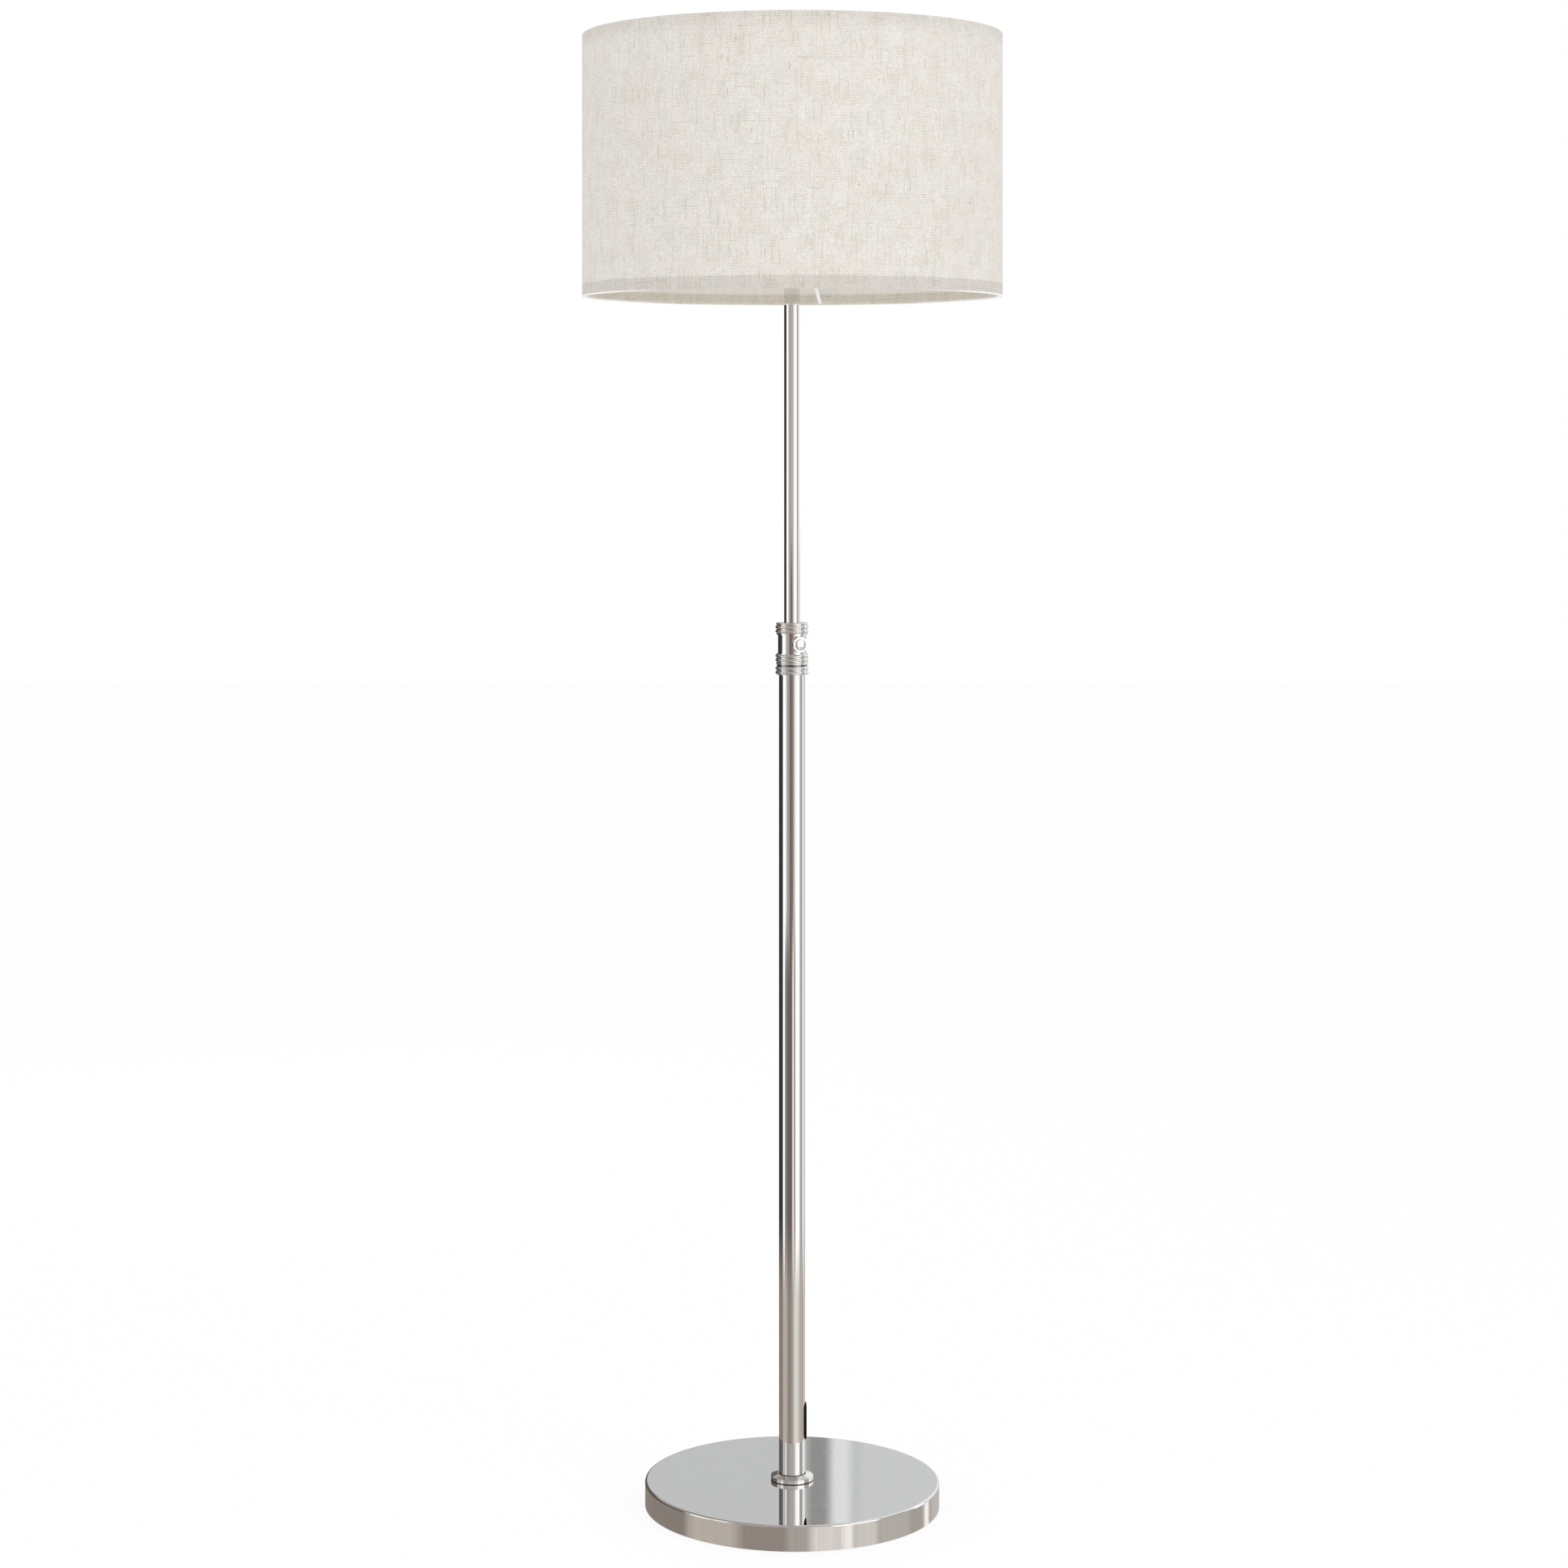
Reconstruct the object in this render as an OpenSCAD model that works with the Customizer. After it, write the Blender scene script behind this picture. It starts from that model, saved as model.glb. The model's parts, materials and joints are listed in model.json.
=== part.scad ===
// Telescopic floor lamp: a round weighted base, a two-section chromed column,
// a clamp collar with a lock knob, a sliding mast, a lampholder with a bulb and
// a linen drum shade on a three-armed spider frame.
// Origin: centre of the underside, on the floor. +Z is up, -Y is the front.

/* [Base] */
// Outer diameter of the base cover
base_d = 315; // [280:1:380]
// Height of the base's top face above the floor
base_h = 27.5; // [24:0.5:36]
// Sheet thickness of the base cover
cover_t = 1.2; // [0.8:0.1:2]
// Radius of the cover's rounded top edge
cover_edge_r = 2.2; // [0.5:0.1:3]
// How far the cover's lip turns in under the weight
cover_lip = 4; // [2:0.5:8]
// Thickness of the felt pad under the base
pad_t = 2.2; // [2:0.1:4]
// Thickness of the weight's web between its ribs
web_t = 9; // [5:0.5:14]
// Width of the weight's outer rim
rim_w = 14; // [8:1:24]
// Diameter of the weight's centre boss
boss_d = 64; // [44:1:80]
// Number of ribs on the weight
rib_count = 6; // [3:1:10]
// Thickness of each rib on the weight
rib_t = 8; // [4:0.5:12]
// How far the ribs' tops lie below the cover
rib_drop = 0.5; // [0.2:0.1:3]
// Diameter of the recess for the nut, in the weight's underside
recess_d = 34; // [30:1:40]
// Depth of the recess for the nut
recess_depth = 11; // [10:0.5:13]

/* [Foot fastening] */
// Thread diameter of the foot stud
stud_d = 10; // [8:0.5:12]
// Thickness of the foot nut
nut_h = 6; // [4:0.5:7]
// Size of the foot nut across its flats
nut_flats = 17; // [16:0.5:19]
// Outer diameter of the foot washer
washer_d = 28; // [22:1:29]
// Thickness of the foot washer
washer_t = 2; // [1:0.25:3]
// Length of the stud below the nut
stud_tail = 1.5; // [0:0.25:1.75]
// How far the stud's upper end lies below the foot plug's top
stud_short = 2; // [0.5:0.5:6]
// Outer diameter of the foot collar
collar_d = 45.2; // [38:0.1:60]
// Height of the foot collar
collar_h = 6.3; // [5:0.1:12]
// Height of the foot collar's upright band
collar_band = 3.8; // [3:0.1:4.9]
// Width of the flat land round the top opening
collar_land = 0.7; // [0.3:0.1:2]
// Thickness of the foot collar's floor, under the column
collar_floor = 2; // [1:0.25:3]
// Thickness of the rubber gasket under the foot collar
foot_gasket_t = 0.7; // [0.4:0.1:2]
// How far the gasket's edge lies inside the foot collar's edge
foot_gasket_inset = 0.1; // [0:0.1:1]
// Thickness of the rubber seal between the column and the foot collar
seal_t = 0.5; // [0.4:0.1:2]
// How far that seal stands above the foot collar
seal_proud = 0.4; // [0.3:0.1:3]
// Height of the threaded plug in the column's foot
foot_plug_h = 18; // [10:1:30]

/* [Column] */
// Outer diameter of the column tubes
column_d = 28; // [27:0.25:29]
// Wall thickness of the column tubes
column_wall = 1.5; // [1.2:0.1:1.8]
// Height of the seam between the two column tubes above the floor
seam_z = 476; // [430:1:500]
// Height of the column's top end above the floor
column_top_z = 898.4; // [880:0.1:1000]
// Length of the coupler inside the seam
coupler_len = 48; // [30:1:52]
// Wall thickness of the coupler
coupler_wall = 1.8; // [1.2:0.1:2.4]

/* [Cord outlet] */
// Direction of the cord outlet, anticlockwise from +X
outlet_angle = 5; // [0:1:90]
// Height of the outlet's centre above the floor
outlet_z = 89.8; // [80:0.1:130]
// Height of the grommet's flange
grommet_h = 40; // [34:0.5:42]
// Width of the grommet's flange
grommet_w = 12; // [10.5:0.25:13]
// How far the grommet stands proud of the column
grommet_proud = 1.2; // [1:0.1:6]
// Bevel round the grommet's outer face
grommet_bevel = 0.6; // [0.3:0.1:0.8]
// Height of the slot in the column
slot_h = 32; // [28:0.5:33]
// Width of the slot in the column
slot_w = 9; // [8:0.25:9.5]
// Thickness of the grommet's lip inside the column
grommet_lip = 2; // [1:0.1:2.4]
// How much larger than the slot that lip is
lip_over = 1.2; // [0.6:0.1:2]
// Diameter of the hole for the cord
cord_hole_d = 6.4; // [5:0.1:7]

/* [Ferrule and clamp collar] */
// Outer diameter of the rounded ribs
rib_d = 35.6; // [34:0.1:40]
// Height of each rounded rib
rib_h = 3.8; // [3:0.1:4.4]
// Distance from one rib to the next
rib_pitch = 4.5; // [4.4:0.1:4.8]
// Outer diameter of the thin end discs
disc_d = 34; // [33:0.1:36]
// Height of each thin end disc
disc_h = 2.4; // [1.5:0.1:2.8]
// Gap between a disc and the rib beside it
disc_gap = 0.5; // [0.3:0.1:0.8]
// Plain land at the end of the ferrule and of the clamp body
end_land = 0.4; // [0.3:0.1:0.5]
// Plain land between the lower ribs and the waist
low_land = 0.8; // [0.5:0.1:1.2]
// Plain land between the upper ribs and the waist
high_land = 1.6; // [0.5:0.1:1.8]
// Diameter at the bottom of the grooves between ribs
groove_d = 33; // [32.4:0.1:33.2]
// Height of the ferrule ring
ferrule_h = 9.2; // [8.8:0.1:11]
// Thickness of the ferrule's web, over the column's end
ferrule_web = 1; // [0.8:0.1:2]
// Thickness of the black washer
gasket_t = 1.2; // [0.6:0.1:2]
// Outer diameter of the black washer
gasket_d = 32; // [28:0.25:33]
// Total height of the clamp body
clamp_h = 45.2; // [45:0.1:52]
// Diameter of the clamp body between the rib groups
waist_d = 30; // [28:0.25:31.5]
// Length of the spigot inside the column
spigot_in = 40.4; // [30:0.1:60]
// Length of the spigot's thread above the column
spigot_out = 14.2; // [10:0.1:15]
// Outer diameter of the spigot's thread
spigot_thread_d = 24.4; // [24:0.1:24.8]
// Thickness of the spigot's top lip
spigot_lip = 3.6; // [2:0.1:5]
// Outer diameter of both guide bushes
bush_d = 22; // [21:0.1:22.5]
// Gap from the spigot's lower end to the lower guide bush
lower_bush_gap = 6; // [3:0.5:10]
// Length of the upper guide bush
upper_bush_len = 13; // [8:0.5:13]
// Depth of the upper guide bush under the clamp's top face
upper_bush_depth = 0.8; // [0.3:0.1:2]
// Diameter of the clamp body's bore between the bushes
clamp_bore_d = 19; // [18:0.1:20]

/* [Lock knob] */
// Direction of the lock knob, anticlockwise from the front as seen from above
lock_angle = 25; // [-90:1:90]
// Diameter of the boss on the clamp body
lock_boss_d = 12.6; // [11.6:0.1:14]
// Distance of the boss's face from the lamp's axis
lock_boss_reach = 17; // [16.2:0.1:18]
// Diameter of the lock screw's thread
lock_screw_d = 6; // [5:0.25:6]
// Travel of the lock screw in one turn
lock_pitch = 1; // [0.5:0.1:1]
// Outer diameter of the threaded insert in the boss
insert_d = 10; // [9.5:0.1:11]
// Diameter of the pressure pad
lock_pad_d = 9.2; // [7:0.1:9.2]
// Distance of the pad's outer face from the lamp's axis
lock_pad_reach = 11; // [10.8:0.1:11.2]
// Diameter of the knob's flange
knob_flange_d = 17.2; // [12:0.1:20]
// Thickness of the knob's flange
knob_flange_t = 3.1; // [2:0.1:4]
// Radius of the flange's edges
knob_edge_r = 0.5; // [0.3:0.1:0.9]
// Diameter of the raised cap on the knob
knob_cap_d = 12.4; // [9:0.1:14]
// Height of the cap's domed face above the flange
knob_cap_rise = 2.2; // [1.8:0.1:5]
// Radius of the cap's domed face
knob_dome_r = 21; // [14:0.5:60]
// Radius of the cap's rounded edge
knob_cap_edge_r = 1.2; // [0.5:0.1:1.5]
// Gap between the boss and the knob's flange when locked
knob_gap = 0.3; // [0.1:0.1:1]

/* [Mast] */
// Outer diameter of the mast
mast_d = 17; // [16.5:0.1:17.4]
// Wall thickness of the mast
mast_wall = 1.2; // [1:0.1:1.3]
// Height of the mast's top end above the floor
mast_top_z = 1322; // [1300:1:1400]
// How far the mast can rise from the height shown
travel_up = 200; // [150:1:210]
// Length of the glide at the mast's foot
glide_len = 24; // [16:1:40]
// Depth of the relief round the glide's middle
glide_relief = 0.7; // [0.3:0.1:1.2]
// Width of each sliding land of the glide
glide_land = 6; // [4:0.5:7]
// Outer diameter of the flange on the mast's foot
foot_flange_d = 23; // [22.6:0.1:24]
// Thickness of the flange on the mast's foot
foot_flange_t = 3.5; // [2:0.1:5]
// Length of the mast foot inside the mast
foot_in = 17; // [10:0.5:20]
// Thickness of the glide's snap ring
clip_t = 1.3; // [1:0.1:1.6]
// Outer diameter of the glide's snap ring
clip_d = 20.6; // [19.5:0.1:21.4]
// Depth of the snap ring's groove in the mast
clip_groove = 0.4; // [0.2:0.05:0.6]
// Opening of the snap ring
clip_mouth = 10; // [6:0.5:14]

/* [Leads] */
// Diameter of the sheathed lead inside the lamp
lead_d = 6; // [5:0.1:6.2]
// Outer diameter of the lead's curls
curl_d = 19; // [16:0.1:20]
// Height of the lower end of the curls above the floor
curl_z = 162; // [162:1:200]
// Straight length of lead above and below the curls
lead_straight = 12; // [8:1:20]
// Gap between the mast lead's upper end and the holder's insert
lead_gap = 1; // [0.5:0.25:3]
// Length of the lead connector
connector_len = 30; // [20:1:32]
// Diameter of the lead connector
connector_d = 18; // [14:0.5:20]

/* [Lampholder] */
// Length of the threaded plug in the mast's top
mast_plug_len = 22; // [15:0.5:30]
// Thickness of the plug's flange on the mast's end
mast_plug_flange = 1.5; // [1:0.1:3]
// Outer diameter of the hollow nipple
nipple_d = 10; // [9:0.1:10.4]
// Bore of the hollow nipple
nipple_bore_d = 7.2; // [6.6:0.1:7.6]
// Length of the nipple inside the mast
nipple_in = 18; // [10:0.5:20]
// Thickness of the check nut
check_nut_h = 5; // [3:0.1:7]
// Size of the check nut across its flats
check_nut_flats = 14; // [13:0.5:17]
// Height of the holder's cap
cap_h = 25; // [24:0.5:28]
// Outer diameter of the holder's cap and skirt
skirt_d = 38.8; // [38.4:0.1:39.6]
// Diameter of the cap's foot
cap_foot_d = 19; // [16:0.5:24]
// Thickness of the cap's floor
cap_floor = 9.5; // [7:0.5:10]
// Inner diameter of the cap's rim
cap_bore_d = 35; // [34.8:0.1:35.2]
// Height of the holder's skirt above the cap
skirt_h = 38.5; // [37:0.5:42]
// Depth of the skirt's neck inside the cap
neck_depth = 8; // [6:0.5:8]
// Inner diameter of the skirt
skirt_bore_d = 32.2; // [32:0.1:33]
// Thickness of the ledge in the skirt that carries the insert
ledge_t = 2; // [1:0.25:3]
// Inner diameter of that ledge
ledge_bore_d = 26; // [24:0.5:30]
// Thickness of the insert's floor
insert_floor = 9; // [8:0.5:10]
// Height of the insert's cup above its floor
insert_cup = 24; // [20:0.5:26]
// Bore of the insert's cup
insert_bore_d = 28.2; // [27.8:0.1:29]
// Sheet thickness of the metal screw shell
shell_t = 0.5; // [0.3:0.1:0.6]
// Height of the metal screw shell
shell_h = 19; // [14:0.5:20]
// Gap from the insert's floor to the screw shell
shell_lift = 5; // [4:0.5:5]
// Height of the centre contact's tip above the insert's floor
contact_h = 3.9; // [3:0.1:4.5]
// Sheet thickness of the centre contact
contact_t = 0.8; // [0.5:0.1:1]
// Width of the centre contact
contact_w = 6; // [4:0.5:8]
// Radius of the circle of terminal screws
terminal_circle_r = 9; // [8:0.5:10]
// Number of terminal screws
terminal_count = 3; // [2:1:4]
// Thread diameter of the terminal screws
terminal_d = 3; // [2:0.25:3.5]
// Length of thread of the terminal screws
terminal_len = 6; // [4:0.5:7]
// Diameter of the terminal screws' heads
terminal_head_d = 5.2; // [4:0.1:6]
// Height of the terminal screws' heads
terminal_head_h = 1.6; // [1:0.1:1.8]

/* [Bulb] */
// Diameter of the bulb
bulb_d = 60; // [50:1:80]
// Length of the bulb above its screw cap
bulb_len = 75; // [75:1:100]
// Wall thickness of the bulb's glass
bulb_wall = 1; // [0.8:0.1:1.5]
// Outer diameter of the bulb's screw cap
bulb_cap_d = 26.2; // [26:0.1:26.6]
// Height of the bulb's screw cap
bulb_cap_h = 24; // [22:0.5:26]
// Sheet thickness of the bulb's screw cap
bulb_cap_t = 0.4; // [0.3:0.1:0.6]
// Diameter of the bulb's tip contact
tip_d = 9; // [7:0.5:10]
// Height of the bulb's tip contact
tip_h = 1.5; // [1:0.1:2]
// Height of the bulb's black insulator
insulator_h = 3; // [2:0.25:4]
// Diameter of the insulator's wide end
insulator_d = 18; // [14:0.5:20]

/* [Shade] */
// Outer diameter of the shade
shade_d = 450; // [400:1:500]
// Height of the shade
shade_h = 280; // [240:1:320]
// Height of the shade's bottom edge above the floor
shade_z = 1294.6; // [1290:0.1:1300]
// Thickness of the laminated linen
linen_t = 1; // [0.8:0.1:1.4]
// Thickness of the folded hems
hem_t = 0.65; // [0.4:0.05:0.9]
// Height of the bottom hem on the inside
bottom_hem_h = 11.5; // [8:0.5:20]
// Height of the top hem on the inside
top_hem_h = 8; // [7:0.5:20]
// Diameter of the wire of the two frame rings
wire_d = 3.6; // [3:0.1:4]
// Diameter of the spider arms
arm_d = 4.2; // [4.1:0.1:4.6]
// Radius of the weld bead at each arm's outer end
weld_r = 2.25; // [2.2:0.05:2.4]
// Distance from the weld bead's centre to the ring wire's centre
weld_short = 1; // [0.8:0.1:1.5]
// Height of the fitter ring above the shade's bottom edge
fitter_rise = 89; // [85:0.5:92]
// Width of the fitter ring's land round the shade rings
fitter_land = 3; // [2.6:0.1:8]
// Bore of the fitter ring
fitter_bore_d = 40.4; // [40:0.1:42]
// Thickness of the fitter ring
fitter_t = 1.5; // [1:0.1:2.5]
// Number of spider arms
arm_count = 3; // [3:1:4]
// Direction of the first spider arm, anticlockwise from +X
arm_angle = 80.3; // [0:0.1:119]
// Outer diameter of the two shade rings
shade_ring_d = 54; // [48:0.5:60]
// Height of each shade ring
shade_ring_h = 6; // [4:0.25:7]
// Number of finger notches round each shade ring
notch_count = 12; // [6:1:16]
// Radius of each finger notch
notch_r = 2; // [1:0.1:2.5]

/* [Fits] */
// Radial clearance of running and screwed fits
fit = 0.05; // [0.03:0.01:0.08]
// Radial clearance of a hole that a bolt passes through
bolt_clearance = 0.25; // [0.2:0.05:0.5]
// Radial clearance of the holes that the lead passes through
lead_clearance = 0.4; // [0.3:0.1:0.6]
// Clearance between soft or loose pieces
loose = 0.1; // [0.05:0.05:0.15]
// Gap left where a moving piece reaches its stop
stop_gap = 0.3; // [0.2:0.1:0.5]

/* [Hidden] */
$fn = 96;

// Colours
chrome = "silver";
steel = "slategray";
iron = "dimgray";
brass = "goldenrod";
nylon = "ivory";
black = "black";
white = "white";
linen = "linen";
felt = "darkslategray";

// Overcut that lets a hole break cleanly through a face
cut = 1;
// Sides of a hexagonal nut
hexagon = 6;
// Steps of the bulb's outline on its neck and on its ball, and where these meet
neck_steps = 10;
ball_steps = 14;
join_angle = -40;
// Smallest rounding inside the cover's edge
least_edge_r = 0.1;

// Base
base_r = base_d / 2;
lip_z = pad_t - cover_t;
cover_in_r = base_r - cover_t;
inner_edge_r = max(cover_edge_r - cover_t, least_edge_r);
weight_r = cover_in_r - loose;
weight_top = base_h - cover_t;
weight_edge = inner_edge_r + loose;
recess_top = pad_t + recess_depth;
stud_r = stud_d / 2;
hole_r = stud_r + bolt_clearance;
nut_z = recess_top - washer_t - nut_h;
stud_z = nut_z - stud_tail;

// Column, from the foot up
column_r = column_d / 2;
column_in_r = column_r - column_wall;
collar_z = base_h + foot_gasket_t;
collar_top = collar_z + collar_h;
collar_bore_r = column_r + seal_t + 2 * fit;
column_z = collar_z + collar_floor;
foot_plug_z = column_z + foot_plug_h;
coupler_top = seam_z + coupler_len / 2;
ferrule_top = column_top_z + ferrule_web;
ferrule_z = ferrule_top - ferrule_h;
clamp_z = ferrule_top + gasket_t;
clamp_top = clamp_z + clamp_h;
spigot_z = column_top_z - spigot_in;
spigot_top = column_top_z + spigot_out;
thread_r = spigot_thread_d / 2;
bush_r = bush_d / 2;
lower_bush_z = spigot_z + lower_bush_gap;
lower_bush_top = spigot_top - spigot_lip;
upper_bush_top = clamp_top - upper_bush_depth;
upper_bush_z = upper_bush_top - upper_bush_len;

// Ribs of the clamp body, at its lower and its upper end
low_disc_z = clamp_z + end_land + disc_h / 2;
low_rib_z = low_disc_z + disc_h / 2 + disc_gap + rib_h / 2;
low_group_top = low_rib_z + rib_pitch + rib_h / 2 + low_land;
high_disc_z = clamp_top - disc_h / 2;
high_rib_z = high_disc_z - disc_h / 2 - disc_gap - rib_h / 2;
high_group_z = high_rib_z - rib_pitch - rib_h / 2 - high_land;
lock_z = (low_group_top + high_group_z) / 2;

// Lock screw, measured out from the lamp's axis
mast_r = mast_d / 2;
lock_insert_in = lock_pad_reach + lock_pitch + stop_gap;
knob_in = lock_boss_reach + knob_gap;
knob_face = knob_in + knob_flange_t;

// Mast
mast_in_r = mast_r - mast_wall;
glide_top = spigot_z - stop_gap - travel_up;
glide_z = glide_top - glide_len;
foot_z = glide_z - foot_flange_t;
clip_z = glide_top + fit;
lead_r = lead_d / 2;
lead_hole_r = lead_r + lead_clearance;

// Lampholder, bulb and what they stand on
plug_top = mast_top_z + mast_plug_flange;
holder_z = plug_top + check_nut_h;
nipple_r = nipple_d / 2;
nipple_top = holder_z + cap_floor;
skirt_z = holder_z + cap_h;
skirt_r = skirt_d / 2;
skirt_top = skirt_z + skirt_h;
neck_z = skirt_z - neck_depth;
insert_z = neck_z + ledge_t;
insert_top = insert_z + insert_floor;
tip_z = insert_top + contact_h;
insulator_z = tip_z + tip_h;
bulb_cap_z = insulator_z + insulator_h;
bulb_cap_top = bulb_cap_z + bulb_cap_h;

// Shade
shade_r = shade_d / 2;
shade_top = shade_z + shade_h;
linen_in_r = shade_r - linen_t;
wire_r = wire_d / 2;
ring_r = linen_in_r - loose - wire_r;
ring_lift = hem_t + loose + wire_r;
fitter_z = shade_z + fitter_rise - fitter_t / 2;
fitter_r = shade_ring_d / 2 + fitter_land;
arm_r = arm_d / 2;
arm_in = fitter_r - arm_r / 2;
arm_drop = fitter_z + fitter_t / 2 - shade_z - ring_lift;
arm_run = ring_r - arm_in;
arm_len = norm([arm_run, arm_drop]) - weld_short;

// ---- Shapes that repeat ----

// Upright tube or ring
module tube(r_out, r_in, z0, z1) {
    translate([0, 0, z0]) difference() {
        cylinder(r = r_out, h = z1 - z0);
        translate([0, 0, -cut]) cylinder(r = r_in, h = z1 - z0 + 2 * cut);
    }
}

// Upright round bar
module bar(r, z0, z1) {
    translate([0, 0, z0]) cylinder(r = r, h = z1 - z0);
}

// Places its children with X pointing out from the axis, at a height
module facing(angle, z) {
    translate([0, 0, z]) rotate([0, 0, angle]) children();
}

// Round bar along local X, from x0 to x1
module out_bar(r, x0, x1) {
    translate([x0, 0, 0]) rotate([0, 90, 0]) cylinder(r = r, h = x1 - x0);
}

// Hexagonal nut round the axis
module hex_nut(flats, bore_r, z0, h) {
    translate([0, 0, z0]) difference() {
        cylinder(d = flats / cos(180 / hexagon), h = h, $fn = hexagon);
        translate([0, 0, -cut]) cylinder(r = bore_r, h = h + 2 * cut);
    }
}

// Half profile of one rounded rib, centred on height z and rooted in the body's core
module rib_profile(z, r_out, h) {
    root_r = groove_d / 4;
    translate([r_out - h / 2, z]) circle(d = h);
    translate([root_r, z - h / 2]) square([r_out - h / 2 - root_r, h]);
}

// Upright oblong bar along local X, with one bevelled end
module oblong(height, width, x0, x1, bevel) {
    r = width / 2;
    reach = height / 2 - r;
    straight = x1 - x0 - bevel;
    for (end = [-1, 1]) translate([x0, 0, end * reach]) rotate([0, 90, 0]) {
        cylinder(r = r, h = straight);
        translate([0, 0, straight]) cylinder(r1 = r, r2 = r - bevel, h = bevel);
    }
    translate([0, 0, -reach]) linear_extrude(height = 2 * reach)
        polygon([[x0, -r], [x1 - bevel, -r], [x1, bevel - r],
                 [x1, r - bevel], [x1 - bevel, r], [x0, r]]);
}

// ---- Base ----

module base_pad() {
    color(felt) bar(cover_in_r - cover_lip, 0, pad_t);
}

module weight_profile() {
    web_top = pad_t + web_t;
    rim_in_r = weight_r - rim_w;
    polygon([
        [hole_r, recess_top], [recess_d / 2, recess_top], [recess_d / 2, pad_t],
        [weight_r, pad_t], [weight_r, weight_top - weight_edge],
        [weight_r - weight_edge, weight_top], [rim_in_r, weight_top],
        [rim_in_r, web_top], [boss_d / 2, web_top], [boss_d / 2, weight_top],
        [hole_r, weight_top]
    ]);
}

module base_weight() {
    rib_z = pad_t + web_t / 2;
    rib_in = boss_d / 2 - rib_t / 2;
    rib_out = weight_r - rim_w / 2;
    color(iron) {
        rotate_extrude() weight_profile();
        for (i = [0 : rib_count - 1]) rotate([0, 0, (i + 0.5) * 360 / rib_count])
            translate([rib_in, -rib_t / 2, rib_z])
                cube([rib_out - rib_in, rib_t, weight_top - rib_drop - rib_z]);
    }
}

// The cover's section: top sheet, rounded edge, side and turned-in lip
module cover_profile() {
    difference() {
        union() {
            translate([0, lip_z]) square([base_r, base_h - cover_edge_r - lip_z]);
            square([base_r - cover_edge_r, base_h]);
            translate([base_r - cover_edge_r, base_h - cover_edge_r]) circle(r = cover_edge_r);
        }
        translate([-cut, pad_t])
            square([cover_in_r - inner_edge_r + cut, weight_top - pad_t]);
        translate([-cut, pad_t])
            square([cover_in_r + cut, weight_top - pad_t - inner_edge_r]);
        translate([cover_in_r - inner_edge_r, weight_top - inner_edge_r])
            circle(r = inner_edge_r);
        translate([-cut, -cut]) square([cover_in_r - cover_lip + loose + cut, pad_t + 2 * cut]);
        translate([-cut, -cut]) square([base_r + 2 * cut, lip_z + cut]);
        translate([-cut, weight_top - cut]) square([hole_r + cut, cover_t + 3 * cut]);
    }
}

module base_cover() {
    color(chrome) rotate_extrude() cover_profile();
}

module base_washer() {
    color(steel) tube(washer_d / 2, hole_r, recess_top - washer_t, recess_top);
}

module base_nut() {
    color(steel) hex_nut(nut_flats, stud_r + fit, nut_z, nut_h);
}

module base_stud() {
    color(steel) bar(stud_r, stud_z, foot_plug_z - stud_short);
}

// ---- Foot of the column ----

module foot_gasket() {
    color(black) tube(collar_d / 2 - foot_gasket_inset, hole_r, base_h, collar_z);
}

module foot_collar() {
    color(chrome) rotate_extrude() polygon([
        [hole_r, collar_z], [collar_d / 2, collar_z], [collar_d / 2, collar_z + collar_band],
        [collar_bore_r + collar_land, collar_top], [collar_bore_r, collar_top],
        [collar_bore_r, column_z], [hole_r, column_z]
    ]);
}

// Rubber ring between the column and the foot collar's top opening, with a round top edge
module column_seal() {
    inner_r = column_r + fit;
    round_r = seal_t / 2;
    round_z = collar_top + seal_proud - round_r;
    color(black) rotate_extrude() {
        translate([inner_r, column_z]) square([2 * round_r, round_z - column_z]);
        translate([inner_r + round_r, round_z]) circle(r = round_r);
    }
}

module foot_plug() {
    color(steel) difference() {
        bar(column_in_r - fit, column_z, foot_plug_z);
        bar(stud_r + fit, column_z - cut, foot_plug_z + cut);
    }
}

module column_tube_lower() {
    color(chrome) difference() {
        tube(column_r, column_in_r, column_z, seam_z);
        facing(outlet_angle, outlet_z) oblong(slot_h, slot_w, 0, column_r + 2 * cut, 0);
    }
}

module cord_grommet() {
    lip_r = column_in_r - fit;
    face = column_r + grommet_proud;
    color(black) facing(outlet_angle, outlet_z) difference() {
        union() {
            // flange outside the column
            difference() {
                oblong(grommet_h, grommet_w, column_in_r / 2, face, grommet_bevel);
                translate([0, 0, -grommet_h]) cylinder(r = column_r + fit, h = 2 * grommet_h);
            }
            // neck through the slot
            oblong(slot_h - 2 * loose, slot_w - 2 * loose, lip_r - grommet_lip,
                   column_r + grommet_proud / 2, 0);
            // lip inside the column
            intersection() {
                oblong(slot_h + lip_over, slot_w + lip_over, lip_r - grommet_lip, column_r, 0);
                translate([0, 0, -grommet_h]) cylinder(r = lip_r, h = 2 * grommet_h);
            }
        }
        out_bar(cord_hole_d / 2, 0, face + cut);
    }
}

// ---- Leads inside the column and the mast ----

module lead_connector() {
    color(nylon) bar(connector_d / 2, curl_z - lead_straight - connector_len,
                     curl_z - lead_straight);
}

// The curled lead, as the envelope of its curls, with its straight ends
module column_lead() {
    curl_top = foot_z - lead_straight;
    color(black) {
        bar(lead_r, curl_z - lead_straight, foot_z);
        bar(curl_d / 2, curl_z, curl_top);
    }
}

module mast_lead() {
    color(black) bar(lead_r, foot_z, insert_z - lead_gap);
}

// ---- Column ----

module column_coupler() {
    coupler_r = column_in_r - fit;
    color(steel) tube(coupler_r, coupler_r - coupler_wall,
                      seam_z - coupler_len / 2, coupler_top);
}

module column_tube_upper() {
    color(chrome) tube(column_r, column_in_r, seam_z, column_top_z);
}

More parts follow.
